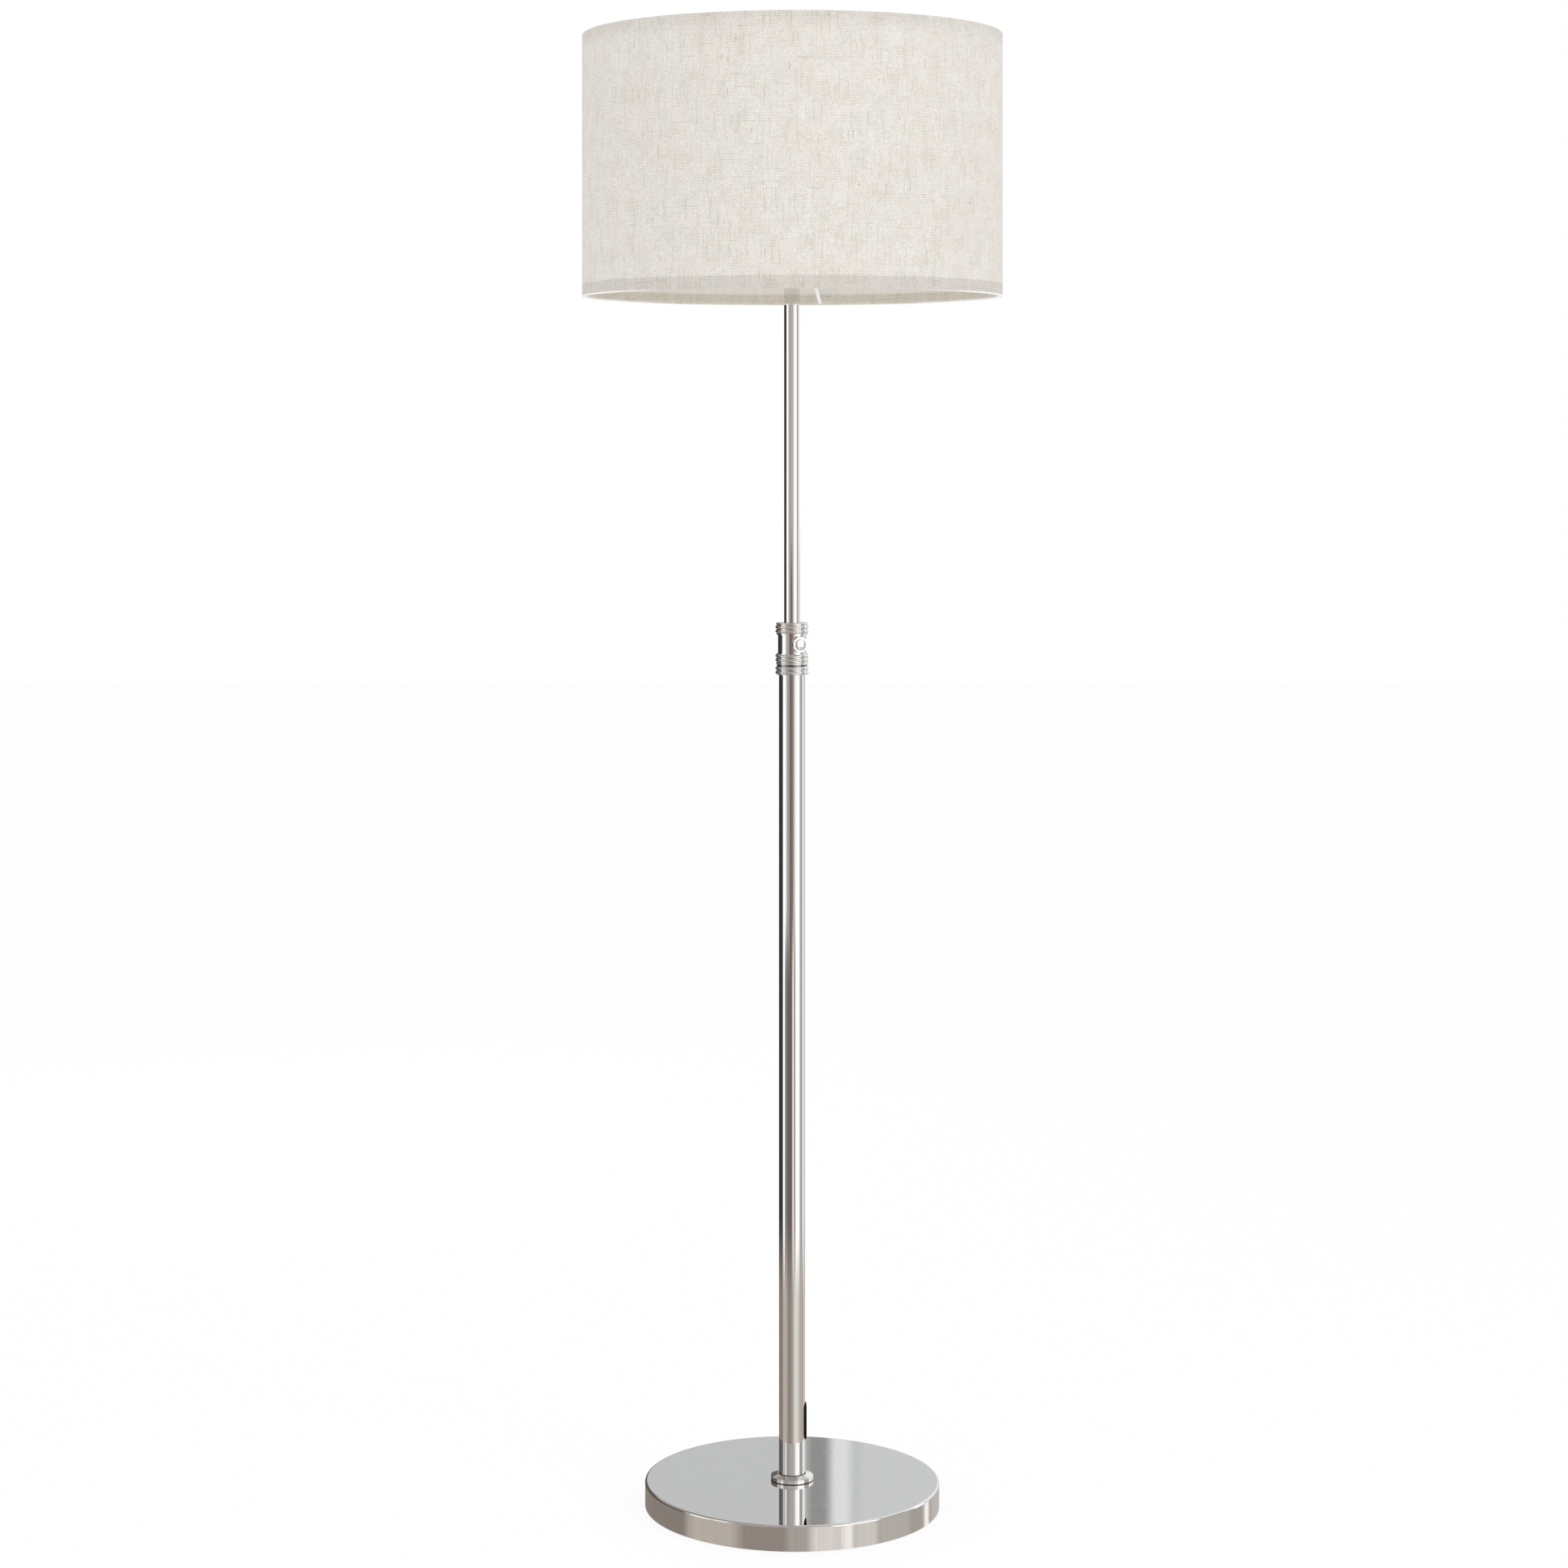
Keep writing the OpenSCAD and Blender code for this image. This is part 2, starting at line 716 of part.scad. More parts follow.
module column_spigot() {
    color(steel) difference() {
        union() {
            bar(column_in_r - fit, spigot_z, column_top_z);
            bar(thread_r, spigot_z, spigot_top);
        }
        bar(bush_r + fit, spigot_z - cut, lower_bush_top);
        bar(clamp_bore_d / 2, spigot_z, spigot_top + cut);
    }
}

module ferrule_ring() {
    rib_r = rib_d / 2;
    low_rib = ferrule_z + end_land + rib_h / 2;
    color(chrome) rotate_extrude() difference() {
        union() {
            translate([0, ferrule_z]) square([groove_d / 2, ferrule_h]);
            rib_profile(low_rib, rib_r, rib_h);
            rib_profile(low_rib + rib_pitch, rib_r, rib_h);
        }
        translate([-cut, ferrule_z - cut])
            square([column_r + fit + cut, column_top_z - ferrule_z + cut]);
        translate([-cut, ferrule_z]) square([thread_r + 2 * fit + cut, ferrule_h + cut]);
    }
}

module ferrule_washer() {
    color(black) tube(gasket_d / 2, thread_r + 2 * fit, ferrule_top, clamp_z);
}

module lower_guide_bush() {
    color(nylon) tube(bush_r, mast_r + fit, lower_bush_z, lower_bush_top);
}

module upper_guide_bush() {
    color(nylon) tube(bush_r, mast_r + fit, upper_bush_z, upper_bush_top);
}

module clamp_profile() {
    rib_r = rib_d / 2;
    translate([0, clamp_z]) square([waist_d / 2, clamp_h]);
    translate([0, clamp_z]) square([groove_d / 2, low_group_top - clamp_z]);
    translate([0, high_group_z]) square([groove_d / 2, clamp_top - high_group_z]);
    rib_profile(low_disc_z, disc_d / 2, disc_h);
    rib_profile(high_disc_z, disc_d / 2, disc_h);
    for (i = [0, 1]) {
        rib_profile(low_rib_z + i * rib_pitch, rib_r, rib_h);
        rib_profile(high_rib_z - i * rib_pitch, rib_r, rib_h);
    }
}

module clamp_body() {
    color(chrome) difference() {
        union() {
            rotate_extrude() clamp_profile();
            facing(lock_angle - 90, lock_z) out_bar(lock_boss_d / 2, 0, lock_boss_reach);
        }
        bar(clamp_bore_d / 2, clamp_z - cut, clamp_top + cut);
        bar(thread_r + fit, clamp_z - cut, spigot_top + fit);
        bar(bush_r + fit, upper_bush_z, clamp_top + cut);
        facing(lock_angle - 90, lock_z) out_bar(insert_d / 2 + fit, 0, lock_boss_reach + cut);
    }
}

// ---- Lock screw ----

module lock_insert() {
    color(brass) facing(lock_angle - 90, lock_z) difference() {
        out_bar(insert_d / 2, lock_insert_in, lock_boss_reach);
        out_bar(lock_screw_d / 2 + fit, 0, lock_boss_reach + cut);
    }
}

// The pressure pad is hollowed to the mast's curve
module lock_pad() {
    color(nylon) facing(lock_angle - 90, lock_z) difference() {
        out_bar(lock_pad_d / 2, 0, lock_pad_reach);
        translate([0, 0, -lock_pad_d]) cylinder(r = mast_r + fit, h = 2 * lock_pad_d);
    }
}

module lock_screw() {
    color(steel) facing(lock_angle - 90, lock_z)
        out_bar(lock_screw_d / 2, lock_pad_reach, knob_face);
}

// Half section of the knob: a flange, a raised cap with a domed face and the screw's hole
module knob_profile() {
    cap_r = knob_cap_d / 2;
    flange_r = knob_flange_d / 2;
    dome_z = knob_face + knob_cap_rise - knob_dome_r;
    edge_x = cap_r - knob_cap_edge_r;
    edge_z = dome_z + sqrt(pow(knob_dome_r - knob_cap_edge_r, 2) - pow(edge_x, 2));
    meet_x = edge_x * knob_dome_r / (knob_dome_r - knob_cap_edge_r);
    difference() {
        union() {
            translate([0, knob_in]) square([flange_r - knob_edge_r, knob_flange_t]);
            translate([0, knob_in + knob_edge_r])
                square([flange_r, knob_flange_t - 2 * knob_edge_r]);
            for (z = [knob_in + knob_edge_r, knob_face - knob_edge_r])
                translate([flange_r - knob_edge_r, z]) circle(r = knob_edge_r);
            translate([0, knob_in]) square([cap_r, edge_z - knob_in]);
            translate([edge_x, edge_z]) circle(r = knob_cap_edge_r);
            intersection() {
                translate([0, dome_z]) circle(r = knob_dome_r, $fn = 4 * $fn);
                translate([0, knob_in]) square([meet_x, knob_dome_r]);
            }
        }
        translate([-cut, knob_in - cut])
            square([lock_screw_d / 2 + fit + cut, knob_face - knob_in + cut]);
    }
}

module lock_knob() {
    color(chrome) facing(lock_angle - 90, lock_z) rotate([0, 90, 0])
        rotate_extrude() knob_profile();
}

// ---- Mast ----

module mast_glide() {
    slide_r = column_in_r - fit;
    waist_z = glide_z + glide_land;
    color(nylon) difference() {
        tube(slide_r, mast_r + fit, glide_z, glide_top);
        tube(slide_r + cut, slide_r - glide_relief, waist_z, glide_top - glide_land);
    }
}

module mast_foot() {
    color(brass) difference() {
        union() {
            bar(foot_flange_d / 2, foot_z, glide_z);
            bar(mast_in_r - fit, foot_z, glide_z + foot_in);
        }
        bar(lead_hole_r, foot_z - cut, glide_z + foot_in + cut);
    }
}

module glide_clip() {
    color(steel) difference() {
        tube(clip_d / 2, mast_r - clip_groove + fit, clip_z, clip_z + clip_t);
        translate([-clip_mouth / 2, 0, clip_z - cut])
            cube([clip_mouth, clip_d, clip_t + 2 * cut]);
    }
}

module mast_tube() {
    color(chrome) difference() {
        tube(mast_r, mast_in_r, glide_z, mast_top_z);
        tube(mast_r + cut, mast_r - clip_groove, clip_z - fit, clip_z + clip_t + fit);
    }
}

module mast_plug() {
    color(steel) difference() {
        union() {
            bar(mast_in_r - fit, mast_top_z - mast_plug_len, plug_top);
            bar(mast_r, mast_top_z, plug_top);
        }
        bar(nipple_r + fit, mast_top_z - mast_plug_len - cut, plug_top + cut);
    }
}

module mast_nipple() {
    color(brass) tube(nipple_r, nipple_bore_d / 2, mast_top_z - nipple_in, nipple_top);
}

module check_nut() {
    color(brass) hex_nut(check_nut_flats, nipple_r + fit, plug_top, check_nut_h);
}

// ---- Lampholder ----

module holder_cap() {
    wall = skirt_r - cap_bore_d / 2;
    foot_r = cap_foot_d / 2;
    shoulder = holder_z + cap_floor + wall;
    color(white) rotate_extrude() polygon([
        [nipple_r + fit, holder_z], [foot_r, holder_z], [foot_r, holder_z + cap_floor / 2],
        [skirt_r, shoulder + wall], [skirt_r, skirt_z], [cap_bore_d / 2, skirt_z],
        [cap_bore_d / 2, shoulder + 2 * wall], [foot_r, holder_z + cap_floor],
        [nipple_r + fit, holder_z + cap_floor]
    ]);
}

module holder_skirt() {
    neck_r = cap_bore_d / 2 - fit;
    bore_r = skirt_bore_d / 2;
    color(white) rotate_extrude() polygon([
        [ledge_bore_d / 2, neck_z], [neck_r, neck_z], [neck_r, skirt_z], [skirt_r, skirt_z],
        [skirt_r, skirt_top], [bore_r, skirt_top], [bore_r, insert_z],
        [ledge_bore_d / 2, insert_z]
    ]);
}

// Places its children on each terminal's axis
module at_terminals() {
    for (i = [0 : terminal_count - 1]) rotate([0, 0, i * 360 / terminal_count])
        translate([terminal_circle_r, 0, 0]) children();
}

module holder_insert() {
    color(white) difference() {
        bar(skirt_bore_d / 2 - fit, insert_z, insert_top + insert_cup);
        bar(insert_bore_d / 2, insert_top, insert_top + insert_cup + cut);
        at_terminals() bar(terminal_d / 2 + fit, insert_z - cut, insert_z + terminal_len);
    }
}

module terminal_screws() {
    color(brass) at_terminals() {
        bar(terminal_d / 2, insert_z - terminal_head_h, insert_z + terminal_len - fit);
        bar(terminal_head_d / 2, insert_z - terminal_head_h, insert_z);
    }
}

// A flat strip with a raised tongue in its middle
module centre_contact() {
    half = terminal_circle_r;
    foot = contact_w / 2;
    color(brass) translate([0, contact_w / 2, insert_top]) rotate([90, 0, 0])
        linear_extrude(height = contact_w) polygon([
            [-half, 0], [contact_t - foot, 0], [contact_t - foot, contact_h - contact_t],
            [foot, contact_h - contact_t], [foot, contact_h], [-foot, contact_h],
            [-foot, contact_t], [-half, contact_t]
        ]);
}

module screw_shell() {
    r = insert_bore_d / 2 - fit;
    color(brass) tube(r, r - shell_t, insert_top + shell_lift,
                      insert_top + shell_lift + shell_h);
}

// ---- Bulb ----

module bulb_contact() {
    color(brass) bar(tip_d / 2, tip_z, insulator_z);
}

module bulb_insulator() {
    color(black) translate([0, 0, insulator_z])
        cylinder(d1 = tip_d, d2 = insulator_d, h = insulator_h);
}

module bulb_cap() {
    r = bulb_cap_d / 2;
    shoulder = bulb_cap_z + 2 * insulator_h / 3;
    color(chrome) rotate_extrude() polygon([
        [0, bulb_cap_z], [insulator_d / 2, bulb_cap_z], [r, shoulder],
        [r, bulb_cap_top], [r - bulb_cap_t, bulb_cap_top], [r - bulb_cap_t, shoulder],
        [insulator_d / 2 - bulb_cap_t, bulb_cap_z + bulb_cap_t], [0, bulb_cap_z + bulb_cap_t]
    ]);
}

// The glass swells from the neck to the ball on a smooth curve, then closes as a ball
function ease(t) = t * t * (3 - 2 * t);
function bulb_outline(inset) = let (
    ball_r = bulb_d / 2 - inset,
    ball_z = bulb_cap_top + bulb_len - bulb_d / 2,
    neck_r = bulb_cap_d / 2 - bulb_cap_t - fit - inset,
    join_r = ball_r * cos(join_angle),
    join_z = ball_z + ball_r * sin(join_angle)
) concat(
    [for (i = [0 : neck_steps - 1]) let (t = i / neck_steps)
        [neck_r + (join_r - neck_r) * ease(t), bulb_cap_top + (join_z - bulb_cap_top) * t]],
    [for (i = [0 : ball_steps]) let (a = join_angle + (90 - join_angle) * i / ball_steps)
        [ball_r * cos(a), ball_z + ball_r * sin(a)]]
);

module bulb_glass() {
    neck_r = bulb_cap_d / 2 - bulb_cap_t - fit;
    sunk = bulb_cap_h / 4;
    outer = bulb_outline(0);
    inner = bulb_outline(bulb_wall);
    color(white) rotate_extrude() polygon(concat(
        [[neck_r - bulb_wall, bulb_cap_top - sunk], [neck_r, bulb_cap_top - sunk]],
        outer,
        [for (i = [len(inner) - 1 : -1 : 0]) inner[i]]
    ));
}

// ---- Shade ----

// Places its children along each spider arm, from the fitter ring to the bottom ring
module at_arms() {
    for (i = [0 : arm_count - 1])
        rotate([0, 0, arm_angle + i * 360 / arm_count])
            translate([arm_in, 0, fitter_z + fitter_t / 2])
                rotate([0, 90 + atan2(arm_drop, arm_run), 0])
                    children();
}

module wire_ring(z) {
    rotate_extrude() translate([ring_r, z]) circle(r = wire_r, $fn = 32);
}

module spider_frame() {
    color(white) {
        tube(fitter_r, fitter_bore_d / 2, fitter_z, fitter_z + fitter_t);
        wire_ring(shade_z + ring_lift);
        at_arms() {
            cylinder(r = arm_r, h = arm_len, $fn = 32);
            translate([0, 0, arm_len]) sphere(r = weld_r, $fn = 32);
        }
    }
}

module shade_top_ring() {
    color(white) wire_ring(shade_top - ring_lift);
}

module shade_fabric() {
    color(linen) tube(shade_r, linen_in_r, shade_z + hem_t + loose / 2,
                      shade_top - hem_t - loose / 2);
}

// Section of a hem: under the shade's edge, round the wire and up the inside wall
module hem_profile(height) {
    curl_r = wire_r + loose;
    top = ring_lift + curl_r;
    difference() {
        union() {
            translate([ring_r, ring_lift]) circle(r = curl_r + hem_t);
            translate([ring_r, 0]) square([shade_r - ring_r, hem_t]);
            translate([ring_r, top]) square([linen_in_r - fit - ring_r, hem_t]);
            translate([linen_in_r - fit - hem_t, top]) square([hem_t, height - top]);
        }
        translate([ring_r, ring_lift]) circle(r = curl_r);
        translate([ring_r, hem_t]) square([shade_r - ring_r, 2 * curl_r]);
    }
}

module bottom_hem() {
    color(linen) difference() {
        translate([0, 0, shade_z]) rotate_extrude() hem_profile(bottom_hem_h);
        at_arms() cylinder(r = weld_r + loose, h = arm_len + weld_r);
    }
}

module top_hem() {
    color(linen) translate([0, 0, shade_top]) mirror([0, 0, 1])
        rotate_extrude() hem_profile(top_hem_h);
}

module shade_ring(z) {
    r = shade_ring_d / 2;
    difference() {
        tube(r, skirt_r + fit, z, z + shade_ring_h);
        for (i = [0 : notch_count - 1]) rotate([0, 0, i * 360 / notch_count])
            translate([r + notch_r / 2, 0, z - cut])
                cylinder(r = notch_r, h = shade_ring_h + 2 * cut);
    }
}

module shade_ring_lower() {
    color(white) shade_ring(fitter_z - shade_ring_h);
}

module shade_ring_upper() {
    color(white) shade_ring(fitter_z + fitter_t);
}

base_pad();
base_weight();
base_cover();
base_nut();
base_washer();
base_stud();
foot_gasket();
foot_collar();
column_seal();
foot_plug();
column_tube_lower();
cord_grommet();
lead_connector();
column_lead();
column_coupler();
column_tube_upper();
column_spigot();
ferrule_ring();
ferrule_washer();
lower_guide_bush();
clamp_body();
upper_guide_bush();
lock_insert();
lock_pad();
lock_screw();
lock_knob();
mast_glide();
mast_foot();
glide_clip();
mast_tube();
mast_lead();
mast_plug();
mast_nipple();
check_nut();
holder_cap();
holder_insert();
terminal_screws();
centre_contact();
screw_shell();
holder_skirt();
shade_ring_lower();
shade_ring_upper();
spider_frame();
shade_top_ring();
shade_fabric();
bottom_hem();
top_hem();
bulb_contact();
bulb_insulator();
bulb_cap();
bulb_glass();
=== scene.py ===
"""Telescopic floor lamp: the finish of its chrome, linen, rubber and plastic, the woven
shade with its rolled hems, the curled lead in the column, and the studio it stands in."""

import json
import math

import bmesh
import bpy
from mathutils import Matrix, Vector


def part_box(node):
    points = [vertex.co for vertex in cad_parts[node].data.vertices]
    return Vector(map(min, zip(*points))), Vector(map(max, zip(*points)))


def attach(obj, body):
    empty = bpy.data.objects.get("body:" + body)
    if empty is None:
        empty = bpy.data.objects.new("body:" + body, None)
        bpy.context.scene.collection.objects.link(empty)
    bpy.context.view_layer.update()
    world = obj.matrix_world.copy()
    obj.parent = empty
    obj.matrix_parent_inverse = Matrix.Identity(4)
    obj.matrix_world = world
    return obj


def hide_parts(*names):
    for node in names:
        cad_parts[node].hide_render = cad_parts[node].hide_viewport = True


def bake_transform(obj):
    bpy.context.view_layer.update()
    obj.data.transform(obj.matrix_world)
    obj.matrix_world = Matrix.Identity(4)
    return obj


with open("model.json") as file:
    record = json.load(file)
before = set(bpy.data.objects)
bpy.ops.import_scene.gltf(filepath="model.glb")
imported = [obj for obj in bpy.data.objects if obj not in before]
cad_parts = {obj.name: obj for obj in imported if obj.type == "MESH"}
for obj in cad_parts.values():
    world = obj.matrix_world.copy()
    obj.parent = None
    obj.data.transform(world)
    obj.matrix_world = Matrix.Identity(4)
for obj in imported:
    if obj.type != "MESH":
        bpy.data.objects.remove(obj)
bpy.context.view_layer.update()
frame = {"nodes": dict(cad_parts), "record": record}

MM = 0.001


# ---- Camera, as the photograph was taken ----

PHOTO_WIDTH = 1932
AXIS_COLUMN = 975.89        # pixel column of the lamp's axis
HORIZON_ROW = 536.46        # pixel row of the horizon
FOCAL_PIXELS = 4189.45
CAMERA_DISTANCE = 3.64605
CAMERA_LEFT = 0.091         # how far left of the lamp's axis it stands
CAMERA_HEIGHT = 1.14647
SENSOR = 36.0


def place_camera():
    data = bpy.data.cameras.new("camera")
    data.sensor_width = SENSOR
    data.lens = FOCAL_PIXELS / PHOTO_WIDTH * SENSOR
    centre_column = AXIS_COLUMN - FOCAL_PIXELS * CAMERA_LEFT / CAMERA_DISTANCE
    data.shift_x = (PHOTO_WIDTH / 2 - centre_column) / PHOTO_WIDTH
    data.shift_y = (HORIZON_ROW - PHOTO_WIDTH / 2) / PHOTO_WIDTH
    data.clip_end = 50.0
    camera = bpy.data.objects.new("camera", data)
    camera.location = (-CAMERA_LEFT, -CAMERA_DISTANCE, CAMERA_HEIGHT)
    camera.rotation_euler = (math.pi / 2, 0.0, 0.0)
    bpy.context.scene.collection.objects.link(camera)
    bpy.context.scene.camera = camera


place_camera()


# ---- Shader maths ----

class Value:
    """An output of a shader tree that is used in sums as a number is."""

    def __init__(self, paint, socket):
        self.paint = paint
        self.socket = socket

    def __add__(self, other):
        return self.paint.maths("ADD", self, other)

    def __sub__(self, other):
        return self.paint.maths("SUBTRACT", self, other)

    def __rsub__(self, other):
        return self.paint.maths("SUBTRACT", other, self)

    def __mul__(self, other):
        return self.paint.maths("MULTIPLY", self, other)

    def __truediv__(self, other):
        return self.paint.maths("DIVIDE", self, other)

    def __neg__(self):
        return self * -1.0

    def __abs__(self):
        return self.paint.maths("ABSOLUTE", self)

    def __gt__(self, other):
        return self.paint.maths("GREATER_THAN", self, other)

    def __lt__(self, other):
        return self.paint.maths("LESS_THAN", self, other)

    __radd__ = __add__
    __rmul__ = __mul__


class Paint:
    """Builds one shader tree."""

    def __init__(self, owner):
        owner.use_nodes = True
        self.tree = owner.node_tree
        self.tree.nodes.clear()

    def node(self, kind, sockets, **settings):
        """Any node, with its settings, and its sockets set or linked."""
        made = self.tree.nodes.new("ShaderNode" + kind)
        for name, value in settings.items():
            setattr(made, name, value)
        for name, value in sockets.items():
            if isinstance(value, Value):
                self.tree.links.new(value.socket, made.inputs[name])
            else:
                made.inputs[name].default_value = value
        return made

    def read(self, output, kind, sockets=None, **settings):
        """One output of a new node."""
        made = self.node(kind, sockets or {}, **settings)
        return Value(self, made.outputs[output])

    def maths(self, operation, *terms):
        return self.read(0, "Math", dict(enumerate(terms)), operation=operation)

    def mix(self, share, under, over, blend="MIX"):
        """Colour under, with colour over laid on it where share is 1."""
        colours = [(*c, 1.0) if isinstance(c, tuple) else c for c in (under, over)]
        sockets = {0: share, 6: colours[0], 7: colours[1]}
        return self.read(2, "Mix", sockets, data_type="RGBA", blend_type=blend)

    def step(self, value, low, high):
        """0 below low, 1 above high, smooth between them."""
        sockets = {"Value": value, "From Min": low, "From Max": high}
        return self.read(0, "MapRange", sockets, interpolation_type="SMOOTHSTEP")

    def split(self, vector):
        made = self.node("SeparateXYZ", {0: vector})
        return [Value(self, socket) for socket in made.outputs]

    def join(self, x, y, z=0.0):
        return self.read(0, "CombineXYZ", {0: x, 1: y, 2: z})

    def noise(self, vector, scale, detail=2.0, roughness=0.5):
        sockets = {"Vector": vector, "Scale": scale, "Detail": detail,
                   "Roughness": roughness}
        return self.read(0, "TexNoise", sockets)

    def place(self):
        """The place on the piece, in metres in the lamp's own frame."""
        return self.read("Object", "TexCoord")

    def bump(self, height, distance, strength=1.0):
        sockets = {"Height": height, "Distance": distance, "Strength": strength}
        return self.read(0, "Bump", sockets)

    def surface(self, **sockets):
        """The one shader of a finish. Names are Principled sockets with _ for a space."""
        named = {name.replace("_", " "): value for name, value in sockets.items()}
        for name, value in named.items():
            if isinstance(value, tuple) and len(value) == 3:
                named[name] = (*value, 1.0)
        shader = self.read(0, "BsdfPrincipled", named)
        self.node("OutputMaterial", {"Surface": shader})


def finish(name, build):
    """A material made by build, a function that gets its Paint."""
    material = bpy.data.materials.new(name)
    build(Paint(material))
    return material


# ---- Finishes ----

def polished_chrome(paint):
    place = paint.place()
    haze = paint.noise(place, 60.0, detail=4.0)
    fine = paint.noise(place, 900.0, detail=2.0)
    rough = 0.018 + paint.step(haze, 0.45, 0.75) * 0.022 + fine * 0.012
    paint.surface(Base_Color=(0.83, 0.825, 0.82), Metallic=1.0, Roughness=rough)


def zinc_steel(paint):
    x, y, z = paint.split(paint.place())
    turned = paint.noise(paint.join(x * 20.0, y * 20.0, z * 4000.0), 1.0, detail=3.0)
    rough = 0.22 + turned * 0.2
    tint = paint.mix(turned, (0.50, 0.51, 0.53), (0.62, 0.62, 0.62))
    paint.surface(Base_Color=tint, Metallic=1.0, Roughness=rough,
                  Normal=paint.bump(turned, 0.02 * MM))


def brass(paint):
    x, y, z = paint.split(paint.place())
    turned = paint.noise(paint.join(x * 20.0, y * 20.0, z * 5000.0), 1.0, detail=3.0)
    stain = paint.step(paint.noise(paint.place(), 140.0), 0.45, 0.75)
    tint = paint.mix(stain, (0.80, 0.60, 0.27), (0.62, 0.43, 0.19))
    paint.surface(Base_Color=tint, Metallic=1.0, Roughness=0.2 + turned * 0.16,
                  Normal=paint.bump(turned, 0.02 * MM))


def nickel_plate(paint):
    haze = paint.noise(paint.place(), 260.0, detail=3.0)
    paint.surface(Base_Color=(0.70, 0.68, 0.64), Metallic=1.0, Roughness=0.16 + haze * 0.18)


def cast_iron(paint):
    grain = paint.noise(paint.place(), 700.0, detail=6.0, roughness=0.65)
    patch = paint.noise(paint.place(), 40.0)
    tint = paint.mix(patch, (0.020, 0.020, 0.022), (0.055, 0.052, 0.050))
    paint.surface(Base_Color=tint, Roughness=0.62 + grain * 0.25,
                  Normal=paint.bump(grain, 0.35 * MM))


def grey_felt(paint):
    fibres = paint.noise(paint.place(), 1400.0, detail=5.0, roughness=0.7)
    clumps = paint.noise(paint.place(), 220.0, detail=3.0)
    tint = paint.mix(fibres * 0.6 + clumps * 0.4, (0.07, 0.07, 0.075), (0.19, 0.19, 0.20))
    paint.surface(Base_Color=tint, Roughness=0.97, Sheen_Weight=0.4,
                  Normal=paint.bump(fibres, 0.4 * MM))


def black_rubber(paint):
    grain = paint.noise(paint.place(), 2200.0, detail=3.0)
    paint.surface(Base_Color=(0.004, 0.004, 0.0045), Roughness=0.5 + grain * 0.2,
                  Specular_IOR_Level=0.12, Normal=paint.bump(grain, 0.03 * MM))


def black_sheath(paint):
    scuffs = paint.noise(paint.place(), 320.0, detail=4.0)
    paint.surface(Base_Color=(0.012, 0.012, 0.013), Roughness=0.36 + scuffs * 0.2,
                  Normal=paint.bump(scuffs, 0.05 * MM))


def nylon(paint):
    cloud = paint.noise(paint.place(), 90.0, detail=3.0)
    grain = paint.noise(paint.place(), 1500.0)
    tint = paint.mix(cloud, (0.80, 0.78, 0.71), (0.87, 0.85, 0.80))
    paint.surface(Base_Color=tint, Roughness=0.45 + grain * 0.15,
                  Subsurface_Weight=0.15, Subsurface_Scale=0.002,
                  Normal=paint.bump(grain, 0.03 * MM))


def white_powder_coat(paint):
    peel = paint.noise(paint.place(), 700.0, detail=2.0)
    paint.surface(Base_Color=(0.97, 0.97, 0.965), Roughness=0.36 + peel * 0.14,
                  Normal=paint.bump(peel, 0.05 * MM))


def white_plastic(paint):
    peel = paint.noise(paint.place(), 500.0, detail=2.0)
    paint.surface(Base_Color=(0.88, 0.875, 0.85), Roughness=0.2 + peel * 0.12,
                  Coat_Weight=0.2, Normal=paint.bump(peel, 0.02 * MM))


def porcelain(paint):
    speckle = paint.step(paint.noise(paint.place(), 1600.0, detail=3.0), 0.66, 0.74)
    tint = paint.mix(speckle, (0.86, 0.85, 0.81), (0.62, 0.58, 0.52))
    ripple = paint.noise(paint.place(), 180.0)
    paint.surface(Base_Color=tint, Roughness=0.12 + ripple * 0.1, Coat_Weight=0.6,
                  Normal=paint.bump(ripple, 0.05 * MM))


def opal_glass(paint):
    cloud = paint.noise(paint.place(), 35.0, detail=2.0)
    tint = paint.mix(cloud, (0.88, 0.88, 0.86), (0.93, 0.93, 0.92))
    paint.surface(Base_Color=tint, Roughness=0.08 + cloud * 0.08, Coat_Weight=0.3,
                  Subsurface_Weight=0.3, Subsurface_Scale=0.004)


def black_glass(paint):
    ripple = paint.noise(paint.place(), 400.0)
    paint.surface(Base_Color=(0.01, 0.01, 0.011), Roughness=0.06 + ripple * 0.1,
                  Normal=paint.bump(ripple, 0.03 * MM))


# ---- Linen ----

SHADE_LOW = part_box("bottom_hem")[0].z
SHADE_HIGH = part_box("top_hem")[1].z
SHADE_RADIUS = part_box("shade_fabric")[1].x
REPEAT_WIDTH = 2.42 * MM    # two upright threads
REPEAT_HEIGHT = 2.57 * MM   # two level threads
HEM_BAND = 13.5 * MM        # height of the doubled linen at the lower edge, where painted shade darkens the outside
TOP_BAND = 24.0 * MM        # height of the darker fade at the top, partly the top hem and partly painted shade, set to the photo's levels
LINEN = 1.0 * MM            # thickness of the linen with its backing
HEM = 0.65 * MM             # thickness of one layer at the hems
ROLL_HIGHLIGHT = 1.8 * MM             # how far up the wall the painted highlight on the rolled edge reaches
EDGE_HIGHLIGHT_FROM = 0.12            # how far to the left or right the painted highlight on the lower edge starts
EDGE_HIGHLIGHT_FULL = 0.20            # and how far out it is brightest
BACKING = 0.7 * MM          # depth in the wall at which the pale backing starts
BACKING_BLUR = 0.1 * MM     # half the depth over which linen turns into backing
WALL_PLAY = 0.02 * MM       # how far a point may lie past the wall and still count as it
BAND_BLUR = MM              # half the height over which the doubled linen's edge fades


def thread_runs(paint, thread, along, length, seed, rarity):
    """1 along scattered stretches of single threads, which are about as long as length."""
    spot = paint.join(thread * 7.31 + seed, along / length)
    return paint.step(paint.noise(spot, 1.0, detail=1.0), rarity, rarity + 0.06)


